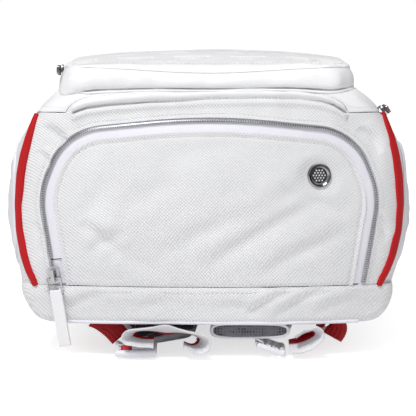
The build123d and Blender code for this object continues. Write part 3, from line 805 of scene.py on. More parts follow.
# Seam between cloth and coated fabric: x, z. At 300 it is off the bag.
END_SEAM = np.array([
    (-150, 300), (-114, 300), (-110, 200.5), (-106, 202.2), (-98, 205.0), (-80, 207.4),
    (-48, 210.2), (0, 212.6), (40, 213.2), (72, 212.6), (90, 210.4), (100, 207.0),
    (107, 202.5), (110.5, 200.6), (114, 300), (150, 300)])


def end_seam_z(x):
    return np.interp(x, END_SEAM[:, 0], END_SEAM[:, 1])


# ------------------------------------------------------------------ rings round the bag
def section_half(side, local_z, y_min):
    """Left (-1) or right (1) half of the bag cut parallel to the front panel."""
    spokes = np.vstack([
        np.linspace((-90, 62, math.radians(252)), (-90, 62, PI), 90),
        np.linspace((-90, 64, PI), (-90, 374, PI), 150),
        np.linspace((-ARCH_X, ARCH_Y, PI), (-ARCH_X, ARCH_Y, PI / 2), 60),
        np.linspace((-44, ARCH_Y, PI / 2), (0, ARCH_Y, PI / 2), 20)])
    centre = spokes[:, :2] * [-side, 1]
    heading = np.column_stack([-side * np.cos(spokes[:, 2]), np.sin(spokes[:, 2])])

    def point_at(dist):
        xy = centre + heading * dist[:, None]
        z = FRONT_Z - SLOPE * (xy[:, 1] - FRONT_Y) + local_z / COS_TILT
        return np.column_stack([xy, z])

    half = point_at(reach(point_at, 0.0, 125.0, len(centre)))
    if y_min is not None:
        i = int(np.argmax(half[:, 1] > y_min))
        if i:
            half = np.vstack([crossing(half[i - 1], half[i], y_min), half[i:]])
    return half


def ring_curve(local_z, y_min, count):
    """The cut from the left end corner round the far arch to the right end corner."""
    left, right = (section_half(side, local_z, y_min) for side in (-1, 1))
    return resample(np.vstack([left, right[::-1][1:]]), count)


def seam_side(side, count):
    """One edge of the main opening, closing up at the two near corners.

    side is 1 for the lid's edge and -1 for the body's.
    """
    edge = ring_curve(SEAM_LOCAL_Z + side * SEAM_LIFT * math.cos(SEAM_PHI), 16.0, count)
    middle = ring_curve(SEAM_LOCAL_Z, 16.0, count)
    least = 0.35 / SEAM_LIFT
    share = least + (1 - least) * smoothstep(ramp(middle[:, 1], 24, 26))
    return middle + (edge - middle) * share[:, None]


def front_line(count, y, seam):
    """The bag's surface at one depth, between the two ends of a seam."""
    first, last = seam[0], seam[-1]
    angle = np.linspace(math.atan2(first[2] - DOME_Z, first[0]),
                        math.atan2(last[2] - DOME_Z, last[0]), count)

    def point_at(dist):
        return np.column_stack([dist * np.cos(angle), np.full(count, y),
                                DOME_Z + dist * np.sin(angle)])

    return resample(point_at(reach(point_at, 60.0, 190.0, count)), count)


low_seam = seam_side(-1, 1200)
mid_seam = ring_curve(SEAM_LOCAL_Z, 16.4, 1400)

# ------------------------------------------------------------------ end panel
END_CREASES = [
    (-134, 190, -112, 168, 4, 1.2), (-138, 170, -128, 150, 3, 0.9), (120, 188, 138, 168, 4, 1.3),
    (-128, 205, -112, 214, 3, 1.6), (112, 204, 132, 216, 3.5, 1.8), (100, 214, 128, 204, 3, 1.2),
    (132, 120, 143, 96, 3, 0.9), (-142, 112, -136, 84, 3, 0.8)]


def end_relief(pts):
    off = np.abs(pts[:, 2] - end_seam_z(pts[:, 0]))
    fade = np.clip((112 - np.abs(pts[:, 0])) / 4, 0, 1)
    seam = fade * (-2.3 * bell(off, 1.15) + 0.9 * bell(off - 4.0, 2.6))
    return (seam + crease(pts[:, [0, 2]], END_CREASES)) * 2.2 + 0.45 * waves(pts, 34, 11)


def seam_corner(side):
    x, y = side * low_seam[:, 0], low_seam[:, 1]
    pts = low_seam[(y < 60) & (x > 0) & (x < 137.6)]
    return pts[np.argsort(pts[:, 0])]


def turn(pts):
    """Share of the way round the panel's middle."""
    angle = np.unwrap(np.arctan2(pts[:, 2] - 100, pts[:, 0]))
    return (angle - angle[0]) / (angle[-1] - angle[0])


END_U, END_V = 520, 40
rim_in = on_dome(d_curve(2.3, 60.8, END_U))
legs = [on_dome(stripe_xz(side, 90, 60.9, 196.0)) for side in (-1, 1)]
rim_out = resample(np.vstack([legs[0], seam_corner(-1),
                              front_line(240, 15.96, low_seam)[1:-1],
                              seam_corner(1), legs[1][::-1]]), 2600)
index = np.arange(len(rim_out))
rim_out = look_up(np.interp(turn(rim_in), turn(rim_out), index), index, rim_out)
share = np.linspace(0, 1, END_V)
w = share[None, :, None]
grid = project(rim_in[:, None] * (1 - w) + rim_out[:, None] * w, 8).reshape(END_U, END_V, 3)
grid[:, -1] = rim_out
grid[:, 0] = rim_in
pts = grid.reshape(-1, 3)
norms = normals(pts)
edge = np.exp(-(share * 9) ** 2)
taper = np.r_[np.ones(END_V - 3), 0.8, 0.45, 0.0]
rise = end_relief(pts).reshape(END_U, END_V)
rise = (rise + 0.7 + 0.9 * edge) * taper + 0.5 * (1 - taper)
pts = pts + norms * rise.reshape(-1, 1)
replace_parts(sheet("end_panel_cover", pts.reshape(grid.shape), [TWILL, LEATHER], norms,
                  thick=2.2, lined=True,
                  pick=lambda c: (c[:, 2] > end_seam_z(c[:, 0])).astype(int)), "end_panel")

seam_x = np.linspace(-107, 107, 240)
for label, offset in (("low", -3.0), ("high", 3.0)):
    line = np.stack([seam_x, end_seam_z(seam_x) + offset], 1)
    stitches("end_seam_stitch_" + label, *on_end(line, 0.9), radius=0.26)
stitches("end_zip_stitch", *on_end(d_curve(5.6, 63, 600), 1.15), radius=0.24)

# ------------------------------------------------------------------ shoe zip
# Across the curve, -1 is outward, away from the flap, and 1 is towards it.
curve, norms = on_end(d_curve(0.0, 61.0, 1400))
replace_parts(tape("shoe_tape_outer", curve, norms,
                 [(0.6, -0.9), (1.4, -0.6), (2.4, -0.45), (4.6, -0.5)], side=-1),
            "shoe_zip_tape_outer")
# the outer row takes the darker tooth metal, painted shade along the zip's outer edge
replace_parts(teeth("shoe_teeth_outer", curve, norms, -1, mat=TOOTH_PAINTED_SHADE, across=(-0.3, 1.25),
                  along=0.5), "shoe_zip_teeth_outer")
# the flap's side is closed only above the slider at the lower left
keep = ~((curve[:, 0] < -100) & (curve[:, 2] < 81.5))
curve, norms = curve[keep], norms[keep]
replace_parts(teeth("shoe_teeth_inner", curve, norms, 1, body="shoe_flap", phase=0.5,
                  across=(-0.3, 1.5), along=0.5), "shoe_zip_teeth_inner")
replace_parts(tape("shoe_tape_inner", curve, norms,
                 [(0.7, -0.9), (1.6, -0.65), (3.2, -0.45), (5.4, -0.2), (7.6, 0.1), (10.4, 0.0)],
                 thick=0.7, body="shoe_flap"), "shoe_zip_tape_inner")

# plain tape the zip ends on, sewn to the body beside the slider
tape("shoe_zip_garage", *on_end(d_curve(0.0, 60.9, 1400)[:60]),
     [(-2.0, -1.6), (0.5, -1.45), (3.0, -1.3), (6.0, -1.2), (9.5, -1.25), (11.0, -2.0)])

# ------------------------------------------------------------------ shoe flap
FLAP_OFFSET, FLAP_Z = -8.6, 60.8
VENT_X, VENT_Z = 88.0, 151.0
FLAP_FOLDS = [
    (-6, 74, 92, 132, 6.5, 2.3), (18, 106, 108, 160, 7, 1.7), (-48, 80, 36, 122, 7, 1.3),
    (-104, 112, -72, 84, 5, 2.2), (-98, 86, -66, 106, 5, 1.8), (-84, 150, -106, 116, 7, 1.3),
    (38, 68, 112, 104, 6, 1.7), (60, 136, 112, 118, 6, 1.4), (-40, 160, 30, 178, 9, 1.1),
    (-110, 158, -84, 180, 6, 1.2), (90, 178, 114, 154, 6, 1.3), (-70, 120, -20, 148, 8, 1.0),
    (-30, 68, -80, 100, 6, 1.0)]


def flap_grid(nu, nv):
    """(x, z) grid inside the D; its corners sit where the outline turns past 45 degrees."""
    curve = d_curve(FLAP_OFFSET, FLAP_Z, 1200)
    step = np.gradient(curve, axis=0)
    steep = step[:, 1] / np.maximum(np.abs(step[:, 0]), 1e-6)
    high = curve[:, 1] > 120
    i = int(np.argmax((steep < 1.0) & high))
    j = len(curve) - 1 - int(np.argmax(((steep > -1.0) & high)[::-1]))
    bottom = np.stack([np.linspace(curve[0, 0], curve[-1, 0], nu), np.full(nu, FLAP_Z)], 1)
    return coons(bottom, resample(curve[i:j + 1], nu), resample(curve[:i + 1], nv),
                 resample(curve[j:][::-1], nv))


def vent_distance(xz):
    return np.hypot(xz[:, 0] - VENT_X, xz[:, 1] - VENT_Z)


def flap_relief(pts, edge):
    rise = 0.9 + 1.6 * (1 - bell(edge, 26.0)) + 0.5 * bell(edge, 1.6)
    rise -= 0.75 * bell(edge - 3.4, 1.0)
    rise += crease(pts[:, [0, 2]], FLAP_FOLDS) * (1 - bell(edge, 9.0))
    rise += 0.3 * waves(pts, 46, 21) + 0.12 * waves(pts, 17, 22)
    flat = bell(vent_distance(pts[:, [0, 2]]), 15.0, 4)
    return rise * (1 - flat) + flat * 0.55


grid = flap_grid(190, 100)
xz = grid.reshape(-1, 2)
pts, norms = on_end(xz)
border = d_curve(FLAP_OFFSET, FLAP_Z, 300)
edge = np.hypot(xz[:, :1] - border[:, 0], xz[:, 1:] - border[:, 1]).min(1)
edge = np.minimum(edge, xz[:, 1] - FLAP_Z + 3.0)
pts = pts + norms * flap_relief(pts, edge)[:, None]
# true sphere round the vent, so its ring sits flush
sphere = np.column_stack([xz[:, 0], dome_y(xz[:, 0], xz[:, 1]), xz[:, 1]])
k = bell(vent_distance(xz), 13.5, 4)[:, None]
pts = pts * (1 - k) + (sphere - norms * 0.15) * k
flap = sheet("shoe_flap_cover", pts.reshape(190, 100, 3), TWILL, norms, thick=2.4, lined=True,
             body="shoe_flap")
bm = bmesh.new()
bm.from_mesh(flap.data)
hole = []
for face in bm.faces:
    middle = face.calc_center_median()
    if math.hypot(middle.x * 1000 - VENT_X, middle.z * 1000 - VENT_Z) < 8.0:
        hole.append(face)
bmesh.ops.delete(bm, geom=hole, context="FACES")
bm.to_mesh(flap.data)
bm.free()
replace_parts(flap, "shoe_flap_panel")
curve, norms = on_end(d_curve(-12.0, 62, 900))
curve = curve + norms * (flap_relief(curve, np.full(len(curve), 3.4)) + 0.25)[:, None]
stitches("flap_stitch", curve, norms, body="shoe_flap", pitch=3.2, size=2.1, radius=0.28)

# ------------------------------------------------------------------ red corner stripes
for label, side in SIDES:
    curve, norms = on_end(stripe_xz(side, 220, 59.5, 197.5), 0.6)
    arc = np.linspace(0, PI, 11)
    profile = np.array([(1.06, -2.6)] + [(math.cos(t), 1.5 * math.sin(t) ** 0.6) for t in arc]
                       + [(-1.06, -2.6)])
    reach_out = sweep(curve, norms, profile * [1, 0]) - curve[:, None]
    middle = np.clip(np.sin(PI * np.linspace(0, 1, len(curve))), 0, 1) ** 0.6
    grid = curve[:, None] + reach_out * (2.0 + 2.9 * middle)[:, None, None]
    pts = project(grid, 6)
    pts = pts + normals(pts) * (np.tile(profile[:, 1], len(curve)) + 1.45)[:, None]
    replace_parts(sheet("edge_stripe_" + label, pts.reshape(grid.shape), RED, norms[:, None],
                      thick=0.5), "side_stripe_" + label)


# ------------------------------------------------------------------ side and far walls
def plan_path(count, y0=15.9):
    """Left near end, far arch, right near end, with outward normals."""
    left, right = (-ARCH_X, ARCH_Y), (ARCH_X, ARCH_Y)
    return outline(np.vstack([
        np.linspace((-ARCH_X, y0, PI), (*left, PI), 200),
        np.linspace((*left, PI), (*left, PI / 2), 60)[1:],
        np.linspace((*left, PI / 2), (*right, PI / 2), 40)[1:-1],
        np.linspace((*right, PI / 2), (*right, 0), 60),
        np.linspace((*right, 0), (ARCH_X, y0, 0), 200)[1:]]), ARCH_R, ARCH_R, count)


def back_edge(plan, out, angles):
    """Columns round the rounded edge between wall (0) and back (90 degrees)."""
    return [np.column_stack([plan - out * BACK_R * (1 - math.cos(a)),
                             np.full(len(plan), EDGE_Z - BACK_R * math.sin(a))]) for a in angles]


def shoulder(plan, out, phi):
    q = plan - out * FRONT_R * (1 - math.cos(phi))
    local_z = np.full(len(plan), FRONT_R * (math.sin(phi) - 1))
    local_y = (q[:, 1] - FRONT_Y - local_z * SIN_TILT) / COS_TILT
    return tilt(np.column_stack([q[:, 0], local_y, local_z]))


def wall_grid(plan, out):
    """Up the wall: back edge, flat wall, shoulder as far as the main zip."""
    columns = back_edge(plan, out, np.linspace(math.radians(50), math.asin(1.35 / BACK_R), 9))
    wall_top = shoulder(plan, out, 0.0)[:, 2]
    for share in np.linspace(0, 1, 26)[:-1]:
        columns.append(np.column_stack([plan, 62.4 + (wall_top - 62.4) * share]))
    for phi in np.linspace(0, SEAM_PHI - SEAM_LIFT / FRONT_R, 12):
        columns.append(shoulder(plan, out, phi))
    return np.stack(columns, 1)


def wall_relief(pts):
    return 0.5 * waves(pts, 60, 31) + 0.25 * waves(pts, 24, 32) + 0.4


def side_wrap(label, side, part):
    """One side wall, from the stripe back, in an upper and a lower piece."""
    if side > 0:
        part = part[::-1]
    near_z = part[0, :, 2]
    z = np.clip(near_z, 60.5, 197)
    stripe = stripe_xz(side, 200, 60.5, 197.0)
    near = on_dome(np.stack([np.interp(z, stripe[:, 1], stripe[:, 0]), z], 1))
    share = np.linspace(0, 1, 150) ** 1.25
    grid = np.zeros((len(share), len(z), 3))
    for k, y0 in enumerate(near[:, 1]):
        y = y0 + (374.5 - y0) * share
        grid[:, k] = look_up(y, part[:, k, 1], part[:, k])
        grid[:, k, 1] = y
    pts = project(grid)
    fade = np.repeat(np.clip(share * 30, 0, 1), len(z))
    grid = (pts + normals(pts) * (wall_relief(pts) * fade)[:, None]).reshape(grid.shape)
    split = int((near_z < 60.4).sum())
    blend = np.clip(share * 40, 0, 1)[:, None, None]
    lifted = (near + normals(near) * 0.3)[None, split:]
    grid[:, split:] = lifted * (1 - blend) + grid[:, split:] * blend
    upper = grid[:, split:]
    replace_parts(sheet("side_wrap_" + label, upper, TWILL, normals(upper.reshape(-1, 3)),
                      thick=2.4, lined=True), "side_panel_" + label)
    lower = grid[:, :split + 1]
    lower = lower[int(np.argmax(lower[:, -1, 1] > 75.5)):]
    sheet("side_wrap_low_" + label, lower, TWILL, normals(lower.reshape(-1, 3)),
          thick=2.4, lined=True)


plan, plan_out = plan_path(760)
wall = wall_grid(plan, plan_out)
for label, side in SIDES:
    side_wrap(label, side, wall[(plan[:, 1] < 374.5) & (side * plan[:, 0] > 0)])

part = wall[plan[:, 1] >= 373.5]
pts = project(part)
norms = normals(pts)
pts = pts + norms * (wall_relief(pts) * 1.2)[:, None]
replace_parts(sheet("top_wrap", pts.reshape(part.shape), TWILL, norms, thick=2.4, lined=True),
            "top_panel")

# ------------------------------------------------------------------ boot
# Wraps the bottom of the near end; rays run out from this inner line.
BOOT_END_Y = 75.5
boot_plan, boot_out = outline(np.vstack([
    np.linspace((-66, BOOT_END_Y, PI), (-66, 60, PI), 14),
    np.linspace((-66, 60, PI), (-66, 60, 1.5 * PI), 50)[1:],
    np.linspace((-66, 60, 1.5 * PI), (66, 60, 1.5 * PI), 120)[1:-1],
    np.linspace((66, 60, 1.5 * PI), (66, 60, 2 * PI), 50)[:-1],
    np.linspace((66, 60, 2 * PI), (66, BOOT_END_Y, 2 * PI), 14)]), 42, 22, 420)
boot_out3 = np.column_stack([boot_out, np.zeros(len(boot_out))])
BOOT_CREASES = [
    (30, 36, 66, 56, 3.2, 1.7), (52, 34, 96, 58, 3.6, 1.6), (-118, 40, -86, 52, 4, 1.2),
    (-60, 40, -20, 50, 5, 0.7), (84, 36, 124, 50, 4, 1.0), (6, 44, 40, 38, 4, 0.8),
    (-134, 56, -112, 40, 3.5, 1.1)]


def boot_cut(z, field=boot_form):
    """The boot's outline at one height."""
    def point_at(dist):
        return np.column_stack([boot_plan + boot_out * dist[:, None],
                                np.full(len(boot_plan), z)])

    return point_at(reach(point_at, 0.0, 80.0, len(boot_plan), field))


def boot_relief(pts):
    rise = crease(pts[:, [0, 2]], BOOT_CREASES) * np.clip((60 - pts[:, 1]) / 20, 0, 1)
    drop = np.abs(pts[:, 2] - 60)
    rise += 1.3 * bell(drop - 7, 7) - 0.6 * bell(drop, 1.2)
    return rise + 0.35 * waves(pts, 40, 41) + 0.8


heights = np.r_[np.linspace(60.3, 40, 26), np.linspace(39.3, 29.4, 16), 28.7, 28.3]
columns = [boot_cut(z) for z in heights]
lip = columns[-1][:, :2]
for share in (0.12, 0.3, 0.55, 0.85):
    xy = lip * (1 - share) + (boot_plan - boot_out * 6) * share
    columns.append(np.column_stack([xy, np.full(len(xy), 27.8)]))
grid = np.stack(columns, 1)
pts = grid.reshape(-1, 3)
norms = normals(pts, boot_form)
pts = pts + norms * (boot_relief(pts) * np.clip((pts[:, 2] - 28) / 3, 0.1, 1))[:, None]
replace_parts(sheet("boot_cover", pts.reshape(grid.shape), TWILL, norms, thick=2.2, lined=True),
            "bottom_boot")

# narrow ledges closing the step from the boot up to the end panel, past |x| 119
LEDGE = [(58.6, boot_form, 0.8), (60.2, boot_form, 0.2), (60.9, bag, 0.7), (62.6, bag, 1.0)]
ledge = np.stack([boot_cut(z, field) - boot_out3 * inset for z, field, inset in LEDGE], 1)
for label, side in SIDES:
    chosen = side * ledge[:, 0, 0] > 119
    sheet("boot_ledge_" + label, ledge[chosen], TWILL, boot_out3[chosen][:, None], thick=0.7)

line = np.stack([np.linspace(-132, 132, 300), np.full(300, 56.8)], 1)
stitches("boot_stitch", *on_end(line, 1.9), radius=0.24)
curve = boot_cut(30.6)
curve = resample(curve[(np.abs(curve[:, 0]) < 122) & (curve[:, 1] < 60)], 360)
norms = normals(curve, boot_form)
curve = curve + norms * 0.9
curve[:, 2] += 0.9 * bell(curve[:, 0] + 20, 60)
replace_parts(cord("boot_binding", curve, 1.55, sides=10, flatten=1.25, ups=norms), "boot_piping")

# ------------------------------------------------------------------ lid
LID_U, LID_V = 150, 210
lid_seam = seam_side(1, 1600)
front = front_line(200, 16.04, lid_seam)
# the far edge runs between the two points where the seam turns round the arch
beyond = (np.abs(lid_seam[:, 0]) < 119) & (lid_seam[:, 1] > 300)
i = int(np.argmax(beyond))
j = len(lid_seam) - 1 - int(np.argmax(beyond[::-1]))
left = resample(lid_seam[:i + 1], LID_V, spacing=1.35)
right = resample(lid_seam[j:][::-1], LID_V, spacing=1.35)
far = resample(lid_seam[i:j + 1], LID_U)
near = resample(front, LID_U)
plan_grid = coons(near[:, :2], far[:, :2], left[:, :2], right[:, :2])
grid = top_points(plan_grid.reshape(-1, 2)).reshape(LID_U, LID_V, 3)
grid[:, 0] = near
grid[:, -1] = far
grid[0] = left
grid[-1] = right
taper = np.ones((LID_U, LID_V))
taper[[1, -2]] = 0.7
taper[:, 1] = 0.7
taper[[0, -1]] = 0.3
taper[:, 0] = 0.0
taper = taper.ravel()
pts = grid.reshape(-1, 3)
norms = normals(pts)
rise = 0.5 * waves(pts, 60, 51) + 0.25 * waves(pts, 20, 52) + 0.9
rise += crease(pts[:, :2], [(-146, 40, -118, 24, 4, 1.2), (146, 44, 118, 26, 4, 1.2)])
grid = (pts + norms * (rise * taper + 0.5 * (1 - taper))[:, None]).reshape(grid.shape)
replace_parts(sheet("lid_cover", grid, LEATHER, norms, thick=2.4, lined=True, body="main_lid"),
            "lid_panel")
for label, row in (("front", grid[4:-4, 4]), ("left", grid[3, 6:-3]), ("right", grid[-4, 6:-3])):
    row = resample(row, 400)
    stitches("lid_stitch_" + label, row, normals(row), slot="white_leather", body="main_lid",
             radius=0.24, lift=0.1)

# ------------------------------------------------------------------ main zip
# Across the curve, 1 is up, to the lid, and -1 down, to the body.
norms = normals(mid_seam)
opened = ~((mid_seam[:, 0] > 100) & (mid_seam[:, 1] < 52))      # lid side, clear of the slider
toothed = mid_seam[:, 1] > 38
MAIN_TAPE = [(0.5, -0.9), (1.4, -0.5), (2.6, -0.3), (4.6, -0.5)]
MAIN_HALVES = (("lower", -1, "pack", np.full(len(mid_seam), True), 0.0),
               ("upper", 1, "main_lid", opened, 0.5))
for label, side, body, keep, _ in MAIN_HALVES:
    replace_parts(tape("main_tape_" + label, mid_seam[keep], norms[keep], MAIN_TAPE, side=side,
                     body=body), "main_zip_tape_" + label)
for label, side, body, keep, phase in MAIN_HALVES:
    keep = keep & toothed
    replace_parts(teeth("main_teeth_" + label, mid_seam[keep] - norms[keep] * 0.5, norms[keep],
                      side, phase=phase, body=body, across=(-0.3, 1.9), up=(-0.5, 0.95)),
                "main_zip_teeth_" + label)

# ------------------------------------------------------------------ side zips
side_phi = SEAM_PHI - 12.0 / FRONT_R
side_ring = ring_curve(-FRONT_R + FRONT_R * math.sin(side_phi), None, 2400)
for label, side in SIDES:
    curve = side_ring[(np.sign(side_ring[:, 0]) == side) & (side_ring[:, 1] > 56)
                      & (side_ring[:, 1] < 274)]
    if side > 0:
        curve = curve[::-1]                     # both run from near to far
    norms = normals(curve)
    curve = curve + norms * 0.15
    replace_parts(tape("side_zip_tape_" + label, curve, norms,
                     [(-5.2, 0.0), (-3.2, 0.75), (-0.5, 0.8), (0.5, 0.8), (3.2, 0.75),
                      (5.2, 0.0)], thick=0.5), "side_zip_tapes")
    row = curve + norms * 0.75
    row = row[(row[:, 1] > 60) & (row[:, 1] < 270)]
    for j, way in enumerate((1, -1)):
        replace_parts(teeth(f"side_zip_teeth_{label}_{j}", row, normals(row), way, phase=0.5 * j,
                          up=(-0.5, 0.95), across=(-0.3, 2.1)), "side_zip_teeth")
    for tag, offset in (("a", -4.3), ("b", 4.3)):
        stitches(f"side_zip_stitch_{label}_{tag}", sweep(curve, norms, [(offset, 0.5)])[:, 0],
                 norms, slot="lilac_tape", radius=0.22)

# low zip on the right-hand wall
RACKET_ZIP_Z = 64.8
curve = project(np.column_stack([np.full(300, HALF_W), np.linspace(146, 364, 300),
                                 np.full(300, RACKET_ZIP_Z)]))
curve[:, 2] = RACKET_ZIP_Z
norms = normals(curve)
tape("racket_zip_tape", curve + norms * 0.4, norms,
     [(-5, 0.0), (-3.2, 0.7), (0, 0.8), (3.2, 0.7), (5, 0.0)], thick=0.5)
row = (curve + norms * 1.6)[6:-6]
for j, way in enumerate((1, -1)):
    teeth(f"racket_zip_teeth_{j}", row, normals(row), way, phase=0.5 * j)

# ------------------------------------------------------------------ side pockets
POCKET_Z = 116.0
POCKET_YZ = [(46, 71), (330, 71), (330, 143), (46, 170)]
POCKET_RINGS = (1.0, 0.992, 0.975, 0.95, 0.91, 0.86, 0.8, 0.72, 0.63, 0.54, 0.45, 0.36, 0.27,
                0.18, 0.1, 0.04)
POCKET_CREASES = [      # in (y, z)
    (56, 150, 92, 128, 5, 1.6), (60, 90, 100, 104, 5, 1.4), (240, 90, 300, 112, 6, 1.4),
    (120, 150, 200, 140, 7, 1.2), (130, 84, 210, 94, 7, 1.1)]


def side_pocket(label, side):
    ring = resample(rounded(POCKET_YZ, [24] * 4, closed=True), 240, closed=True)
    # rings shrink towards a line, so the middle stays evenly meshed
    line = np.column_stack([np.clip(ring[:, 0], 96, 280), np.full(len(ring), POCKET_Z)])
    columns = []
    for share in POCKET_RINGS:
        yz = line + (ring - line) * share
        y, z = yz.T
        wall_x = np.abs(project(np.column_stack([np.full(len(yz), side * HALF_W), yz]), 5)[:, 0])
        depth = 1 - share
        crown = np.clip(1 - (np.abs(z - POCKET_Z) / 60) ** 2.2, 0, 1) ** 0.8
        peak = ((169.8 if side < 0 else 168.0) - 8.5 * (past(y, 150) / 180) ** 1.5
                - 3.0 * (np.maximum(110 - y, 0) / 64) ** 2)
        puff = np.maximum(peak - wall_x, 4.0) * crown * (1 - bell(depth, 0.26, 1.25))
        pts = np.column_stack([side * (wall_x + 0.2 + puff), yz])
        rise = 0.5 * waves(pts, 44, 61) + 0.3 * waves(pts, 18, 62) + crease(yz, POCKET_CREASES)
        pts[:, 0] += side * rise * np.clip(depth * 5, 0, 1)
        columns.append(pts)
    grid = np.stack(columns, 1)
    cover = sheet("side_pocket_cover_" + label, grid, KNIT, (side, 0, 0), thick=1.8,
                  wrap_u=True, lined=True)
    last = len(POCKET_RINGS) - 1
    close_rings(cover, [(np.arange(len(ring)) * (last + 1) + last, (side, 0, 0))])
    shade_smooth(cover)
    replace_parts(cover, "side_pocket_" + label)
    base = project(np.column_stack([np.full(240, side * HALF_W), ring]), 5)
    norms = normals(base)
    cord("side_pocket_binding_" + label, base + norms * 0.9, 1.5, ups=norms, closed=True)


for label, side in SIDES:
    side_pocket(label, side)

# ------------------------------------------------------------------ front pocket
# Plan points here are (x, y) in the tilted frame.
PK_X, PK_Y0, PK_Y1 = 118.0, 2.0, 300.0
PK_NEAR_R, PK_FAR_R = 24, 60
PK_RIGHT = 0.972                # the right half is a little narrower
pk_ring = resample(rounded([(-PK_X, PK_Y0), (PK_X, PK_Y0), (PK_X, PK_Y1), (-PK_X, PK_Y1)],
                           [PK_NEAR_R, PK_NEAR_R, PK_FAR_R, PK_FAR_R], closed=True),
                   720, closed=True)
pk_ring[:, 0] = np.where(pk_ring[:, 0] > 0, pk_ring[:, 0] * PK_RIGHT, pk_ring[:, 0])
_heading = unit(np.roll(pk_ring, -1, 0) - np.roll(pk_ring, 1, 0))
pk_out = np.column_stack([_heading[:, 1], -_heading[:, 0]])
pk_norms = np.column_stack([pk_out[:, 0], pk_out[:, 1] * COS_TILT, -pk_out[:, 1] * SIN_TILT])
PANEL_UP = np.array([0, SIN_TILT, COS_TILT])


def pocket_points(xy, local_z):
    return tilt(np.column_stack([xy, local_z]))


def surface_local_z(xy):
    """Height of the bag's own surface under plan points, in the tilted frame."""
    pts = top_points(np.column_stack([xy[:, 0], FRONT_Y + xy[:, 1] * COS_TILT]))
    return (pts[:, 2] - FRONT_Z + (pts[:, 1] - FRONT_Y) * SLOPE) * COS_TILT


# wall of the pocket
WALL_ROWS = 17
x, y = pk_ring.T
nearness = ramp(26 - y, 0, 22)                  # 1 along the near wall
near_step = smoothstep(ramp(27 - y, 0, 8))
corner_left = np.exp(-((x + 112) / 12) ** 2 - ((y - 12) / 14) ** 2)
corner_right = np.exp(-((x - 112) / 12) ** 2 - ((y - 12) / 14) ** 2)
wall_top = 6.5 + 5.0 * near_step - sag(x, FRONT_Y + y)
columns = []
for share in np.linspace(0, 1, WALL_ROWS):
    belly = np.sin(PI * min(share * 1.05, 1)) ** 0.8
    out = 0.2 + 3.2 * (1 - share) ** 3 * (1 - 0.7 * near_step)
    out += belly * (1.2 + 4.6 * near_step * np.clip((116 - np.abs(x)) / 14, 0.25, 1))
    out += (6.5 * corner_left + 1.0 * corner_right) * (1 - share) ** 1.4
    xy = pk_ring + pk_out * out[:, None]
    foot = surface_local_z(xy) + 0.5
    columns.append(pocket_points(xy, foot + (wall_top - foot) * share))
grid = np.stack(columns, 1)
pts = grid.reshape(-1, 3)
rise = 0.6 * waves(pts * [1, 1, 0.6], 30, 71) + 0.3 * waves(pts * [1, 1, 0.35], 14, 72)
rise = rise.reshape(len(pk_ring), WALL_ROWS) * np.sin(PI * np.linspace(0, 1, WALL_ROWS))
rise *= 1 + 0.6 * nearness[:, None]
grid = grid + pk_norms[:, None] * rise[:, :, None]
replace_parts(sheet("pocket_wall_cover", grid, LEATHER, pk_norms[:, None], thick=1.8, wrap_u=True,
                  lined=True, body="main_lid"), "front_pocket_wall", "pocket_hinge_fold")
xy = pk_ring + pk_out * 4.2
curve = shut(pocket_points(xy, surface_local_z(xy) + 0.6))
cord("pocket_base_piping", curve, 1.1, ups=normals(curve), mat=LEATHER, body="main_lid")

# zip round the pocket, all but its near side; across the curve, 1 is down and -1 up
start = int(np.argmax((pk_ring[:, 0] > 0) & (pk_ring[:, 1] > 34)))
ring, curve, norms = (np.roll(a, -start, 0) for a in (
    pk_ring, pocket_points(pk_ring, np.full(len(pk_ring), 9.1)), pk_norms))
keep = ring[:, 1] > 27
ring, curve, norms = ring[keep], curve[keep], norms[keep]
# the upper half is shorter at its left near end
upper = ~((ring[:, 0] < 0) & (ring[:, 1] < 50))
for label, side, body, keep, phase, profile in (
        ("lower", 1, "main_lid", np.full(len(ring), True), 0.0,
         [(0.35, -1.1), (1.2, -0.5), (2.6, 0.1), (3.4, 0.1)]),
        ("upper", -1, "pocket_flap", upper, 0.5,
         [(0.35, -1.1), (1.2, -0.5), (2.4, 0.1), (3.2, 0.1)])):
    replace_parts(tape("pocket_tape_" + label, curve[keep], norms[keep], profile, side=side,
                     body=body), "pocket_zip_" + label)
    teeth("pocket_teeth_" + label, curve[keep], norms[keep], side, phase=phase, pitch=1.7,
          across=(-0.2, 1.9), up=(-0.7, 0.7), along=0.46, body=body)

# crowned face with an embossed slanted motif
FACE_LIFT = 1.4
FACE_CREASES = [
    (118, 4, 86, 34, 5, 2.2), (112, 30, 84, 52, 5, 1.6), (98, 2, 74, 22, 4, 1.3),
    (-116, 6, -92, 30, 5, 1.6), (-60, 4, -20, 14, 5, 0.9), (30, 4, 70, 12, 5, 0.9)]


def crown(xy):
    return np.sqrt(1000.0 ** 2 - xy[:, 0] ** 2 - (xy[:, 1] - 151) ** 2) - 972


def face_top(xy):
    return crown(xy) - sag(xy[:, 0], FRONT_Y + xy[:, 1]) + FACE_LIFT


def rim_droop(xy, edge):
    """Drop of the rounded rim at a distance from the edge."""
    radius = np.clip((crown(xy) + FACE_LIFT - 11.8) / 0.95, 1.6, 12.5)
    inner = radius - np.minimum(edge, radius)
    return (radius - np.sqrt(np.maximum(radius ** 2 - inner ** 2, 0))) * 0.95


def half_span(y):
    """Half width of the pocket plan at each y."""
    near = np.clip(PK_Y0 + PK_NEAR_R - y, 0, PK_NEAR_R)
    far = np.clip(y - (PK_Y1 - PK_FAR_R), 0, PK_FAR_R)
    span = PK_X - PK_NEAR_R + np.sqrt(np.maximum(PK_NEAR_R ** 2 - near ** 2, 0))
    return np.where(y > PK_Y1 - PK_FAR_R,
                    PK_X - PK_FAR_R + np.sqrt(np.maximum(PK_FAR_R ** 2 - far ** 2, 0)), span)


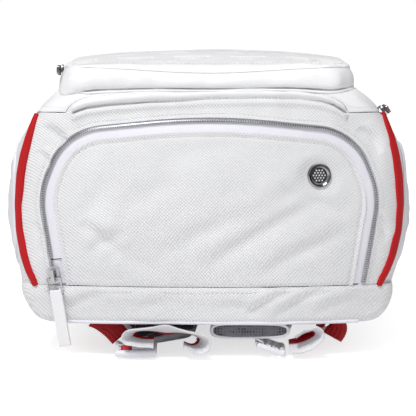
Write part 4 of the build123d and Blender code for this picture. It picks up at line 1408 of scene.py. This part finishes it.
def motif(xy):
    """Depth of the pattern: slanted outlines of one box inside another."""
    x, y = xy[:, 0] - (xy[:, 1] - 150) * 0.35, xy[:, 1]
    cell_x, cell_y = 46.0, 62.0
    row = np.floor((y + 8) / cell_y)
    gx = np.abs(np.mod(x + row * cell_x / 2, cell_x) - cell_x / 2)
    gy = np.abs(np.mod(y + 8, cell_y) - cell_y / 2)
    large = np.maximum(gx - 15.0, gy - 21.0)
    small = np.maximum(gx - 6.5, gy - 12.5)
    return bell(large + 1.2, 1.15) + 0.8 * bell(small + 1.0, 1.0)


u = np.linspace(-1, 1, 236)[:, None]
v = np.linspace(0, 1, 300)
y = 0.65 * (PK_Y0 + (PK_Y1 - PK_Y0) * v) + 0.35 * (
    PK_Y0 + (PK_Y1 - PK_Y0) * (0.5 - 0.5 * np.cos(PI * v)))
x = half_span(y)[None] * np.sign(u) * (1 - (1 - np.abs(u)) ** 1.12)
x = np.where(x > 0, x * PK_RIGHT, x)
xy = np.column_stack([x.ravel(), np.broadcast_to(y[None], x.shape).ravel()])
full_x = np.where(xy[:, 0] > 0, xy[:, 0] / PK_RIGHT, -xy[:, 0])
edge = np.minimum(np.minimum(xy[:, 1] - PK_Y0, PK_Y1 - xy[:, 1]), half_span(xy[:, 1]) - full_x)
edge = np.maximum(edge, 0)
local_z = face_top(xy) - rim_droop(xy, edge)
ripple = waves(np.column_stack([xy, local_z]), 70, 81)
local_z += (1 - bell(edge, 10)) * (-1.15 * motif(xy) + 0.35 * ripple)
local_z += crease(xy, FACE_CREASES) * np.clip(edge / 3, 0, 1)
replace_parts(sheet("pocket_face_cover", pocket_points(xy, local_z).reshape(*x.shape, 3), LEATHER,
                  PANEL_UP, thick=1.6, lined=True, body="pocket_flap"), "pocket_face")
xy = pk_ring - pk_out * 6.0
stitches("pocket_face_stitch", shut(pocket_points(xy, face_top(xy) - rim_droop(pk_ring, 6.0))),
         PANEL_UP, slot="white_leather", body="pocket_flap", radius=0.27, lift=0.3)

# ------------------------------------------------------------------ back panel
BACK_INSET = 26.0
BACK_Y0 = 75.6
back_r = ARCH_R - BACK_INSET
y = np.linspace(BACK_Y0, ARCH_Y + back_r, 150)
into_arch = np.clip(y - ARCH_Y, 0, back_r)
half = np.where(y > ARCH_Y, ARCH_X + np.sqrt(np.maximum(back_r ** 2 - into_arch ** 2, 0)),
                HALF_W - BACK_INSET)
x = half[None, :] * np.linspace(-1, 1, 110)[:, None]
pts = np.column_stack([x.ravel(), np.broadcast_to(y[None], x.shape).ravel(),
                       np.full(x.size, 30.4)])
pts[:, 2] -= 0.4 * waves(pts, 60, 91)
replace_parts(sheet("back_cover", pts.reshape(110, 150, 3), TWILL, DOWN, thick=2.0, lined=True),
            "back_panel")
plan, plan_out = plan_path(760, 75.8)
grid = np.stack(back_edge(plan, plan_out, np.linspace(math.radians(50), PI / 2, 12)), 1)
pts = project(grid, 4)
norms = normals(pts)
sheet("back_edge_cover", (pts + norms * 0.4).reshape(grid.shape), TWILL, norms, thick=2.0,
      lined=True)

# air-mesh pads with quilting channels across them
PAD_RINGS = (1.0, 0.985, 0.95, 0.9, 0.83, 0.74, 0.62, 0.5, 0.38, 0.26, 0.14, 0.05)


def back_pad(label, side):
    x0, x1 = sorted((side * 18, side * 96))
    ring = resample(rounded([(x0, 130), (x1, 130), (x1, 372), (x0, 372)], [22] * 4, closed=True),
                    200, closed=True)
    line = np.column_stack([np.clip(ring[:, 0], x0 + 36, x1 - 36),
                            np.clip(ring[:, 1], 168, 334)])
    columns = []
    # the first ring is the top of the rim, let into the back
    for i, share in enumerate((1.0,) + PAD_RINGS):
        xy = line + (ring - line) * share
        depth = 1 - share
        z = 30.2 if i == 0 else 29.6 - 9.2 * (1 - (1 - min(depth * 2.4, 1)) ** 2.2)
        channel = bell(np.mod(xy[:, 1] - 130, 48.4) - 24.2, 3.2) * min(depth * 4, 1)
        columns.append(np.column_stack([xy, np.maximum(z + 2.6 * channel, 17.5)]))
    grid = np.stack(columns, 1)
    pad = sheet("back_pad_cover_" + label, grid, MESH, DOWN, wrap_u=True)
    rows = grid.shape[1]
    close_rings(pad, [(np.arange(len(ring)) * rows + rows - 1, DOWN)])
    shade_smooth(pad)
    if side < 0:
        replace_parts(pad, "back_pads")
    cord("back_pad_binding_" + label, shut(np.column_stack([ring, np.full(len(ring), 29.3)])),
         1.3)


for label, side in SIDES:
    back_pad(label, side)

# ------------------------------------------------------------------ shoulder straps
STRAP_END_Y = 431
# Stations of (y, value), all from near to far
LEFT_STRAP = dict(
    x_low=[(46, -69), (84, -70), (180, -74), (380, -80), (432, -80)],
    x_high=[(46, -51), (60, -38), (84, -14), (180, -8), (380, -12), (432, -10)],
    top=[(46, 9.5), (64, 12.5), (90, 14.6), (140, 15.2), (260, 16), (350, 17.5), (405, 22.8),
         (432, 23.6)],
    bottom=[(46, 4.2), (66, 2.4), (92, 0.6), (110, 0), (250, 0), (300, 1.8), (350, 5.5),
            (405, 12), (432, 14.6)])
RIGHT_STRAP = dict(
    x_low=[(14, 2), (84, 4), (180, 8), (380, 12), (432, 10)],
    x_high=[(14, 64), (84, 68), (180, 74), (380, 80), (432, 80)],
    top=[(14, 27.8), (34, 27.4), (58, 24.6), (86, 18.8), (140, 15.2), (260, 16), (350, 17.5),
         (405, 22.8), (432, 23.6)],
    bottom=[(14, 16.8), (44, 15.6), (70, 10.6), (100, 2.2), (120, 0), (250, 0), (300, 1.8),
            (350, 5.5), (405, 12), (432, 14.6)])


def strap(label, y0, x_low, x_high, top, bottom):
    body = "shoulder_strap_" + label
    sides = 64
    ys = np.r_[np.linspace(y0, y0 + 24, 26), np.linspace(y0 + 24, STRAP_END_Y, 180)[1:]]
    kernel = np.array([1, 4, 7, 4, 1]) / 17

    def along(stations):
        values = np.interp(ys, *np.array(stations, float).T)
        return np.convolve(np.pad(values, 2, mode="edge"), kernel, "valid")

    xl, xh, zt, zb = map(along, (x_low, x_high, top, bottom))
    centre = np.stack([(xl + xh) / 2, ys, (zt + zb) / 2], 1)
    half_x, half_z = (xh - xl) / 2, (zt - zb) / 2
    sx = signed_power(np.cos(circle(sides)), 0.42)
    sz = signed_power(np.sin(circle(sides)), 0.62)
    grid = centre[:, None] + np.stack([half_x[:, None] * sx, np.zeros((len(ys), sides)),
                                       half_z[:, None] * sz], 2)

    def end_ring(at, share, squeeze, bow):
        """Shrunk copy of an end ring, set out along y."""
        scale = [share * (1 - squeeze * (1 - share)), 1, share]
        ring = centre[at] + (grid[at] - centre[at]) * scale
        ring[:, 1] += bow * (1 - share ** 3)
        return ring

    near = [end_ring(0, s, 0.09, -2.4) for s in (0.06, 0.3, 0.55, 0.75, 0.9, 0.98)]
    far = [end_ring(-1, s, 0.0, 1.6) for s in (0.98, 0.9, 0.75, 0.5, 0.2)]
    grid = np.concatenate([near, grid, far])
    middles = np.repeat(np.vstack([[centre[0]] * len(near), centre, [centre[-1]] * len(far)]),
                        sides, 0)
    # soft waviness, fading out where the strap rests on the floor
    pts = grid.reshape(-1, 3)
    outward = unit((pts - middles) * [0.25, 0.0, 1.0])
    ripple = 0.35 * waves(pts, 40, 101) + 0.15 * waves(pts, 14, 102)
    pts = pts + outward * (ripple * ramp(pts[:, 2], 1.5, 3))[:, None]
    pts[:, 2] = np.maximum(pts[:, 2], 0.02)
    grid = pts.reshape(grid.shape)

    def mesh_side(c):
        middle_z = np.interp(c[:, 1], ys, centre[:, 2])
        return np.where((c[:, 2] > middle_z + 0.6) | (c[:, 1] < ys[0] - 0.2), 1, 0)

    cover = sheet("strap_cover_" + label, grid, [TWILL, MESH], pts - middles, wrap_v=True,
                  pick=mesh_side, body=body, slot="grey_mesh")
    first = np.arange(sides)
    close_rings(cover, [(first, (0, -1, 0)), (first + (len(grid) - 1) * sides, (0, 1, 0))],
                material=1, smooth=True)

    # binding down both edges and round the near end
    trim = dict(body=body, slot="white_fabric")
    for tag, curve in (("left", np.column_stack([xl + 0.3, ys, centre[:, 2]])[::-1]),
                       ("right", np.column_stack([xh - 0.3, ys, centre[:, 2]]))):
        cord(f"strap_binding_{label}_{tag}", resample(curve, 220), 2.1, sides=10, flatten=1.25,
             **trim)
    loop = shut(np.roll(grid[len(near)], -sides // 2, 0))
    cord(f"strap_binding_{label}_end", loop, 1.25, ups=(0, -1.0, 0), **trim)
    for tag, x in (("a", xl + 7.0), ("b", xh - 7.0)):
        t = np.abs((x - centre[:, 0]) / half_x)
        z = centre[:, 2] + half_z * (1 - t ** (2 / 0.42)) ** 0.31
        stitches(f"strap_stitch_{label}_{tag}", np.column_stack([x, ys, z + 0.2]), UP,
                 body=body, radius=0.26)
    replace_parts(cover, "strap_" + label)


strap("left", 47, **LEFT_STRAP)
strap("right", 16, **RIGHT_STRAP)

# yoke the straps are sewn to
pts, middles, shape = rounded_bar(half=84, rows=120, sides=48, taper=(5, 0.02, 0.4),
                                  centre=(443.2, 23.2), radii=(8.7, 6.2), powers=(0.6, 0.7))
pts[:, 2] += 0.3 * waves(pts, 30, 111)
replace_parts(sheet("yoke_cover", pts.reshape(shape), TWILL, pts - middles, wrap_v=True),
            "strap_yoke")
for y in (438.5, 448.0):
    stitches(f"yoke_stitch_{int(y)}", np.linspace((-80, y, 17.4), (80, y, 17.4), 200), DOWN)


# ------------------------------------------------------------------ webbing
def catmull(points, count):
    """Smooth curve through points, resampled to even steps."""
    p = np.array(points, float)
    p = np.vstack([2 * p[0] - p[1], p, 2 * p[-1] - p[-2]])
    t = np.linspace(0, 1, 14, endpoint=False)[:, None]
    out = []
    for a, b, c, d in zip(p, p[1:], p[2:], p[3:]):
        out.append(0.5 * (2 * b + (c - a) * t + (2 * a - 5 * b + 4 * c - d) * t ** 2
                          + (3 * b - a - 3 * c + d) * t ** 3))
    return resample(np.vstack(out + [p[-2:-1]]), count)


def belt(name, curve, across, width, thick, body, ribs=6, red=(2, 2)):
    """Woven belt; across is its width direction or a function giving one per point.

    width may vary along the curve. red is the range of its width, 0 to 1, that is red.
    """
    rows = max(40, int(length(curve) / 0.9))
    table = resample(np.column_stack([curve, np.broadcast_to(width, len(curve))]), rows)
    curve, width = table[:, :3], table[:, 3]
    along = unit(np.gradient(curve, axis=0))
    if callable(across):
        across = across(curve)
    across = square_off(np.broadcast_to(np.array(across, float), curve.shape), along)
    ups = unit(np.cross(along, across))
    f = np.linspace(-0.5, 0.5, 41)
    edge = np.sqrt(np.clip(1 - (np.abs(f) * 2) ** 8, 0.02, 1))
    height = (thick / 2) * edge + 0.18 * np.cos(f * 2 * PI * ribs) * edge
    ring = np.vstack([np.stack([f, height], 1), np.stack([f, -height], 1)[::-1][1:-1]])
    grid = (curve[:, None] + across[:, None] * (ring[None, :, :1] * width[:, None, None])
            + ups[:, None] * ring[None, :, 1:])
    n = len(ring)
    faces = orient(grid, grid_faces(rows, n, wrap_v=True), grid - curve[:, None])
    share = ring[faces[:, 0] % n, 0] + 0.5
    ids = list(((share > red[0]) & (share < red[1])).astype(int)) + [0, 0]
    faces = list(faces)
    verts = grid.reshape(-1, 3)
    first = np.arange(n)
    for cap, facing in ((first, -along[0]), ((rows - 1) * n + first[::-1], along[-1])):
        norm = np.cross(verts[cap[10]] - verts[cap[0]], verts[cap[50]] - verts[cap[0]])
        faces.append(cap if norm @ facing > 0 else cap[::-1])
    return make(name, verts, faces, WEBBING, body=body, ids=ids)


def slack_loop(name, points, y, centre, squeeze, lean, count, body, red):
    """Loose belt tail in an xz plane, drawn in towards its centre.

    Its width leans towards the centre, so it narrows away from the viewer.
    """
    def funnel(curve):
        to_centre = np.column_stack([centre[0] - curve[:, 0], np.zeros(len(curve)),
                                     centre[1] - curve[:, 2]])
        to_centre /= np.maximum(np.linalg.norm(to_centre, axis=1, keepdims=True), 6.0)
        return to_centre * lean + np.array([0, 1.0, 0])

    xz = np.array(centre) + (np.array(points, float) - centre) * squeeze
    path = np.insert(xz, 1, y, axis=1)
    return belt(name, catmull(path, count), funnel, 25, 1.7, body, red=red)


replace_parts(slack_loop("webbing_loop_left", [
    (-46, 12.4), (-58, 13.2), (-67.5, 17.4), (-64, 24.4), (-50, 26.4), (-30, 25.4), (-12, 22.0),
    (-3.4, 16.5), (-3.6, 9.5), (-10, 6.2), (-20, 9.5)], y=12.5, centre=(-36, 16.5),
    squeeze=(0.93, 0.78), lean=0.55, count=220, body="buckle_left", red=(0.72, 2)),
    "webbing_tail_left")
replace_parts(belt("lower_belt_left", catmull([
    (-94, 44, 28.4), (-87, 40.5, 26.4), (-79, 38, 21), (-72, 36, 14)], 60),
    (0.6, 0.6, 0.5), 24, 1.7, "pack", red=(-1, 0.8)), "lower_webbing_left")
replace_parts(slack_loop("webbing_loop_right", [
    (64.5, 8.0), (72, 8.6), (82, 12.5), (88.5, 18.5), (86.0, 24.0), (77, 21.5), (70, 16.5)],
    y=17.5, centre=(76, 15.5), squeeze=(0.95, 0.85), lean=0.5, count=120, body="buckle_right",
    red=(0.60, 2)), "webbing_tail_right")
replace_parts(belt("lower_belt_right", catmull([
    (92, 48, 28.6), (101, 45.5, 26.0), (103.5, 43, 19.5), (99.5, 41, 13)], 60),
    (-0.6, 0.6, 0.5), 24, 1.7, "pack", red=(-1, 0.8)), "lower_webbing_right")

# wrap through the left buckle, which is pitched 14 degrees about x
LOCK_LEFT = np.array([-60, 18, 6.9])
cos_lock, sin_lock = math.cos(math.radians(14)), math.sin(math.radians(14))
LOCK_Y, LOCK_Z = np.array([0, cos_lock, sin_lock]), np.array([0, -sin_lock, cos_lock])
WRAP = [(8, -3.3), (1.6, -2.9), (0.9, 0.2), (-0.4, 2.9), (-2.3, 3.3), (-4.4, 2.9), (-5.7, 0.0),
        (-4.8, -2.9), (2, -3.9), (9, -4.0)]             # along LOCK_Y, along LOCK_Z
belt("webbing_wrap_left", catmull([LOCK_LEFT + LOCK_Y * a + LOCK_Z * b for a, b in WRAP], 110),
     (1, 0, 0), 24.5, 1.3, "buckle_left", ribs=5, red=(-1, 0.36))

# tapered red webbing wings on the back
for label, side in SIDES:
    a, b, c, d = (np.array([side * x, y, 28.5]) for x, y in (
        (72.6, 70.6), (117.4, 70.6), (105.6, 117.4), (84.4, 117.4)))
    grid = coons(*(np.linspace(p, q, 40) for p, q in ((a, b), (d, c), (a, d), (b, c))))
    grid[..., 2] += 0.12 * np.cos(grid[..., 0] * 2.4)
    wing = sheet("wing_cover_" + label, grid, RED, DOWN, thick=1.9, offset=0.0)
    if side < 0:
        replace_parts(wing, "webbing_anchors")
    middle = (a + b + c + d) / 4
    for j, (p, q) in enumerate(((a, b), (b, c), (d, a), (a, c), (b, d))):
        line = np.linspace(p + (middle - p) * 0.14, q + (middle - q) * 0.14, 30)
        stitches(f"wing_stitch_{label}_{j}", line + DOWN * 1.15, DOWN, radius=0.3)

# keeper loops of the straps, each turning round a buckle bar
KEEPER_R = 2.6
bend = [(-60, 27.6 + KEEPER_R * math.cos(t), 6.6 + KEEPER_R * math.sin(t))
        for t in np.linspace(0.42 * PI, 1.58 * PI, 26)]
path = ([(-60, 50, 8.6), (-60, 40, 8.0), (-60, 32, 8.4)] + bend
        + [(-60, 32, 4.9), (-60, 40, 5.6), (-60, 50, 6.0)])
belt("keeper_left", catmull(path, 120), (1, 0, 0), 24, 1.3, "shoulder_strap_left", ribs=5)
bend = [(40.98 + KEEPER_R * math.cos(t), 24, 11.28 + KEEPER_R * math.sin(t))
        for t in np.linspace(-1.25 * PI, 0.30 * PI, 26)]
path = [(36.5, 24, 17.0), (40.5, 24, 14.6)] + bend[::-1]
belt("keeper_right", catmull(path, 100), (0, 1, 0), 24, 1.3, "shoulder_strap_right", ribs=5)


# ------------------------------------------------------------------ ladder-lock buckles
# Bars in the buckle's own axes: start, end, half width, half height
LOCK_BARS = [
    ((-15.2, -11.6, 0), (-15.2, 11.8, 0), 1.9, 2.3), ((15.2, -11.6, 0), (15.2, 11.8, 0), 1.9, 2.3),
    ((-15.5, 3.8, 0), (15.5, 3.8, 0), 1.2, 2.1), ((-15.5, -2.3, 0), (15.5, -2.3, 0), 1.5, 2.1),
    ((-16, -9.8, 0.5), (16, -9.8, 0.5), 2.6, 2.7), ((-15.5, 9.6, 0), (15.5, 9.6, 0), 1.6, 1.6)]
BAR_ENDS = [(0.0, 0.5), (0.25, 0.8), (0.7, 0.96), (1.2, 1.0)]    # distance in, share of size


def ladder_lock(name, origin, axes, body, node):
    """The bars overlap and a voxel remesh joins them."""
    sides = 14
    angle = (2 * PI * np.arange(sides) / sides)[:, None]
    verts, faces = [], []
    for start, end, rx, ry in LOCK_BARS:
        start, end = np.array(start, float), np.array(end, float)
        along = unit(end - start)
        across = unit(np.cross(along, UP))
        over = np.cross(across, along)
        span = np.linalg.norm(end - start)
        rings = BAR_ENDS + [(span - dist, share) for dist, share in BAR_ENDS[::-1]]
        base = len(verts)
        for dist, share in rings:
            verts += list(start + along * dist
                          + across * (rx * share * signed_power(np.cos(angle), 0.7))
                          + over * (ry * share * signed_power(np.sin(angle), 0.7)))
        faces += list(base + tube_faces(len(rings), sides))
        faces += [range(base, base + sides)[::-1], range(len(verts) - sides, len(verts))]
    verts = np.array(origin, float) + np.array(verts) @ np.array(axes, float)
    obj = make(name, verts, faces, MOULDED, body=body)
    skin = obj.modifiers.new("skin", "REMESH")
    skin.mode = "VOXEL"
    skin.voxel_size = 0.00042
    skin.use_smooth_shade = True
    soft = obj.modifiers.new("soft", "SMOOTH")
    soft.factor, soft.iterations = 0.5, 4
    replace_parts(obj, node)


ladder_lock("ladderlock_body_left", LOCK_LEFT, ((1, 0, 0), LOCK_Y, LOCK_Z), "buckle_left",
            "ladderlock_left")
sin20, cos20 = math.sin(math.radians(20)), math.cos(math.radians(20))
ladder_lock("ladderlock_body_right", (50, 24, 8.0),
            ((0, 1, 0), (-cos20, 0, sin20), (sin20, 0, cos20)), "buckle_right",
            "ladderlock_right")

# ------------------------------------------------------------------ haul handle
HAUL_Y, HAUL_Z = 503, 84.5
right = [(20, HAUL_Y), (38, HAUL_Y), (44.5, 501.4), (47.3, 497), (47.3, 490), (47.3, 484.5)]
path = [(-x, y) for x, y in right[::-1]] + [(0, HAUL_Y)] + right
curve = catmull([(x, y, HAUL_Z) for x, y in path], 200)
dist = travel(curve)
from_end = np.minimum(dist, dist[-1] - dist)
haul = belt("haul_belt", curve, (0, 0, 1), 9 + 16 * ramp(from_end, 2, 10), 2.3, "handle")
pts, middles, shape = rounded_bar(half=34, rows=90, sides=40, taper=(3, 0.25, 0.35),
                                  centre=(HAUL_Y, HAUL_Z), radii=(3.4, 14.0),
                                  powers=(0.8, 0.7))
pts = pts + unit(pts - middles) * (0.25 * waves(pts, 16, 121))[:, None]
sheet("haul_grip", pts.reshape(shape), LEATHER, pts - middles, wrap_v=True, body="handle")
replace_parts(haul, "haul_handle")
for z in (74.5, 94.5):
    stitches(f"grip_stitch_{int(z)}", np.linspace((-31, 505.75, z), (31, 505.75, z), 80),
             (0, 1.0, 0), slot="white_leather", body="handle", radius=0.3)


# ------------------------------------------------------------------ inside panels
def inner_panel(name, grid, node, out, thick):
    obj = sheet(name, grid, LINING, out, thick=thick, offset=0.0)
    mod = obj.modifiers.new("round", "BEVEL")
    mod.width, mod.segments, mod.limit_method = 0.0008, 2, "ANGLE"
    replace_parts(obj, node)


DIVIDER_Z, DIVIDER_FAR_Y = 70, 371
x, share = np.meshgrid(np.linspace(-145, 145, 120), np.linspace(0, 1, 140), indexing="ij")
near_y = dome_y(x, DIVIDER_Z) + 6.5
y = near_y + share * (DIVIDER_FAR_Y - near_y)
quilt = 0.35 * np.cos(x * 2 * PI / 30) * np.cos(y * 2 * PI / 30)
inner_panel("divider_cover", np.stack([x, y, DIVIDER_Z + quilt], 2), "racket_divider", UP, 3.2)

# lining from the boot's seam up to the near edge of the divider
x = np.linspace(-127, 127, 160)
lip = on_dome(np.stack([x, np.full(160, 57.5)], 1)) + [0, 2.6, 0]
end = np.column_stack([x, dome_y(x, DIVIDER_Z) + 7.5, np.full(160, DIVIDER_Z)])
grid = np.stack([lip * (1 - t) + end * t - [0, 0, math.sin(PI * t)]
                 for t in np.linspace(0, 1, 8)], 1)
sheet("sleeve_mouth_lining", grid, LINING, (0, -0.6, 0.8), thick=0.8)

x, z = np.meshgrid(np.linspace(-129, 129, 110), np.linspace(73, 181, 60), indexing="ij")
inner_panel("shoe_wall_cover", np.stack([x, 150 + 0.3 * np.cos(x / 9) * np.cos(z / 9), z], 2),
            "shoe_compartment_wall", (0, -1.0, 0), 1.6)


# ------------------------------------------------------------------ parts kept from the CAD
def keep_cad(name, mat, bevel, segments=2):
    obj = CAD[name]
    obj.data.materials.clear()
    obj.data.materials.append(mat)
    mod = obj.modifiers.new("edge", "BEVEL")
    mod.width, mod.segments, mod.limit_method = bevel, segments, "ANGLE"
    mod.angle_limit = math.radians(35)
    mod.harden_normals = False


for name in CAD:
    if ("slider" in name or "pull" in name) and name != "shoe_pull_tab":
        silver = name in ("shoe_zip_slider", "shoe_pull_link")
        keep_cad(name, SILVER if silver else GUNMETAL, bevel=0.00022)
keep_cad("shoe_pull_tab", SOFT_TAB, bevel=0.0005, segments=3)
keep_cad("eyelet_ring", CHROME_PAINTED_REFLECTION, bevel=0.0002)
keep_cad("eyelet_washer", CHROME_PAINTED_REFLECTION, bevel=0.0002)
keep_cad("eyelet_mesh", BLACK, bevel=0.00008, segments=1)
keep_cad("frame_sheet", STIFFENER, bevel=0.0006)
keep_cad("handle_anchors", LEATHER, bevel=0.0008, segments=3)

# pale gauze disc behind the vent; its glow is painted light, so the vent's holes read bright
vent = np.array([VENT_X, dome_y(VENT_X, VENT_Z), VENT_Z])
vent_out = unit(vent - [0, DOME_R, DOME_Z])
vent_x = unit(np.cross(vent_out, UP))
vent_up = np.cross(vent_x, vent_out)
angle = circle(40)[None, :, None]
radii = np.array([0.1, 2.5, 5, 7.4])[:, None, None]
grid = vent - vent_out * 3.1 + radii * (np.cos(angle) * vent_x + np.sin(angle) * vent_up)
GAUZE_PAINTED_GLOW = air_mesh("pale_gauze_painted_glow", dark=(0.5, 0.5, 0.54), light=(0.75, 0.75, 0.78), scale=900.0)
shader = GAUZE_PAINTED_GLOW.node_tree.nodes["Principled BSDF"]
# painted light: a faint glow, as though the disc were lit from behind
shader.inputs["Emission Color"].default_value = (1, 1, 1, 1)
shader.inputs["Emission Strength"].default_value = 0.45
sheet("eyelet_gauze_painted_glow", grid, GAUZE_PAINTED_GLOW, vent_out, thick=0.4, wrap_v=True, body="shoe_flap")


# ------------------------------------------------------------------ hinge webs
def web(name, rows, depth, mat, thick, **where):
    """A strip set in below the bag's surface, from rows of points on it."""
    grid = np.stack(rows, 1)
    norms = normals(grid.reshape(-1, 3))
    pts = grid.reshape(-1, 3) - norms * depth
    return sheet(name, pts.reshape(grid.shape), mat, norms, thick=thick, **where)


def end_rows(xs, heights):
    return [on_dome(np.stack([xs, np.full(len(xs), z)], 1)) for z in heights]


def bend_between(obj):
    """Frees the web from its body and bakes its place into the mesh."""
    bpy.context.view_layer.update()
    matrix = obj.matrix_world.copy()
    obj.parent = None
    obj.matrix_world = matrix
    if "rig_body" in obj:
        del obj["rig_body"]
    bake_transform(obj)


flap_web = web("flap_hinge_web", end_rows(np.linspace(-116, 116, 160),
                                          (54.5, 57, 59, 60.2, 61.4, 63, 65.5)),
               2.4, LILAC, 0.7, slot="lining")
for label, side in SIDES:
    web("zip_end_backing_" + label, end_rows(np.linspace(114, 137, 24) * side,
                                             (56, 58, 60, 61.5, 63, 65)),
        2.0, LILAC, 0.6, slot="lining")
bend_between(flap_web)
x = np.linspace(-98, 98, 140)
lid_web = web("lid_hinge_web", [top_points(np.column_stack([x, np.full(140, y)]))
                                for y in (11.5, 13.5, 15.0, 16.0, 17.0, 18.5, 20.5)],
              2.6, LEATHER, 0.7)
bend_between(lid_web)

# ------------------------------------------------------------------ close open ends
OPEN_ENDED = (["boot_binding", "haul_grip", "pocket_base_piping"]
              + [f"back_pad_{kind}_{label}" for kind in ("binding", "cover")
                 for label, _ in SIDES]
              + [f"strap_binding_{label}_{tag}" for label, _ in SIDES
                 for tag in ("end", "left", "right")])
for name in OPEN_ENDED:
    mesh = bpy.data.objects[name].data
    bm = bmesh.new()
    bm.from_mesh(mesh)
    bmesh.ops.remove_doubles(bm, verts=bm.verts[:], dist=1e-6)
    borders = [edge for edge in bm.edges if edge.is_boundary]
    caps = bmesh.ops.holes_fill(bm, edges=borders, sides=0)["faces"]
    for face in caps:
        face.smooth = False
    bmesh.ops.triangulate(bm, faces=caps)
    bm.to_mesh(mesh)
    bm.free()


# ------------------------------------------------------------------ stage, in metres
def camera_ray_switch(tree, otherwise, seen):
    """One value for rays from the camera, another for all the rest."""
    path = tree.nodes.new("ShaderNodeLightPath")
    switch = tree.nodes.new("ShaderNodeMapRange")
    switch.inputs["To Min"].default_value = otherwise
    switch.inputs["To Max"].default_value = seen
    tree.links.new(path.outputs["Is Camera Ray"], switch.inputs["Value"])
    return switch.outputs["Result"]


def add_staged(name, data):
    obj = bpy.data.objects.new(name, data)
    bpy.context.scene.collection.objects.link(obj)
    return obj


def aim(obj, target):
    away = Vector(target) - obj.location
    obj.rotation_euler = away.to_track_quat("-Z", "Y").to_euler()


mat, tree, shader = new_material("pale_floor")
shader.inputs["Base Color"].default_value = (0.93, 0.93, 0.935, 1)
shader.inputs["Roughness"].default_value = 0.7
shader.inputs["Emission Color"].default_value = (1, 1, 1, 1)
tree.links.new(camera_ray_switch(tree, otherwise=0.0, seen=0.66),
               shader.inputs["Emission Strength"])
FLOOR_HALF, FLOOR_Z = 6.0, -0.0003
mesh = bpy.data.meshes.new("floor")
mesh.from_pydata([(a * FLOOR_HALF, b * FLOOR_HALF, FLOOR_Z)
                  for a, b in ((-1, -1), (1, -1), (1, 1), (-1, 1))], [], [(0, 1, 2, 3)])
mesh.materials.append(mat)
add_staged("floor", mesh)

# name, place, target, size, power
LIGHTS = [("key", (-0.6, -1.3, 2.1), (0, -0.1, 0.1), 0.8, 40),
          ("fill", (1.6, -1.6, 1.0), (0, 0, 0.1), 1.6, 3.0),
          ("top", (0.1, 0.6, 2.3), (0, 0, 0.1), 1.8, 1.5)]
for name, place, target, size, power in LIGHTS:
    light = bpy.data.lights.new(name, "AREA")
    light.shape, light.size, light.energy = "DISK", size, power
    obj = add_staged(name, light)
    obj.location = place
    aim(obj, target)

scene = bpy.context.scene
world = bpy.data.worlds.new("studio")
world.use_nodes = True
background = world.node_tree.nodes["Background"]
background.inputs["Color"].default_value = (1.0, 1.0, 1.0, 1)
world.node_tree.links.new(camera_ray_switch(world.node_tree, otherwise=0.37, seen=1.0),
                          background.inputs["Strength"])
scene.world = world
scene.view_settings.view_transform = "Standard"
scene.view_settings.look = "None"

VIEW_ANGLE = 11.88      # degrees
lens = bpy.data.cameras.new("camera")
camera = add_staged("camera", lens)
camera.location = to_world((-1.2, -1584.4, 348.3))[0]
aim(camera, to_world((-1.2, 0.0, 125.6))[0])
lens.sensor_width = 36.0
lens.lens = lens.sensor_width / 2 / math.tan(math.radians(VIEW_ANGLE / 2))
lens.clip_end = 50
scene.camera = camera
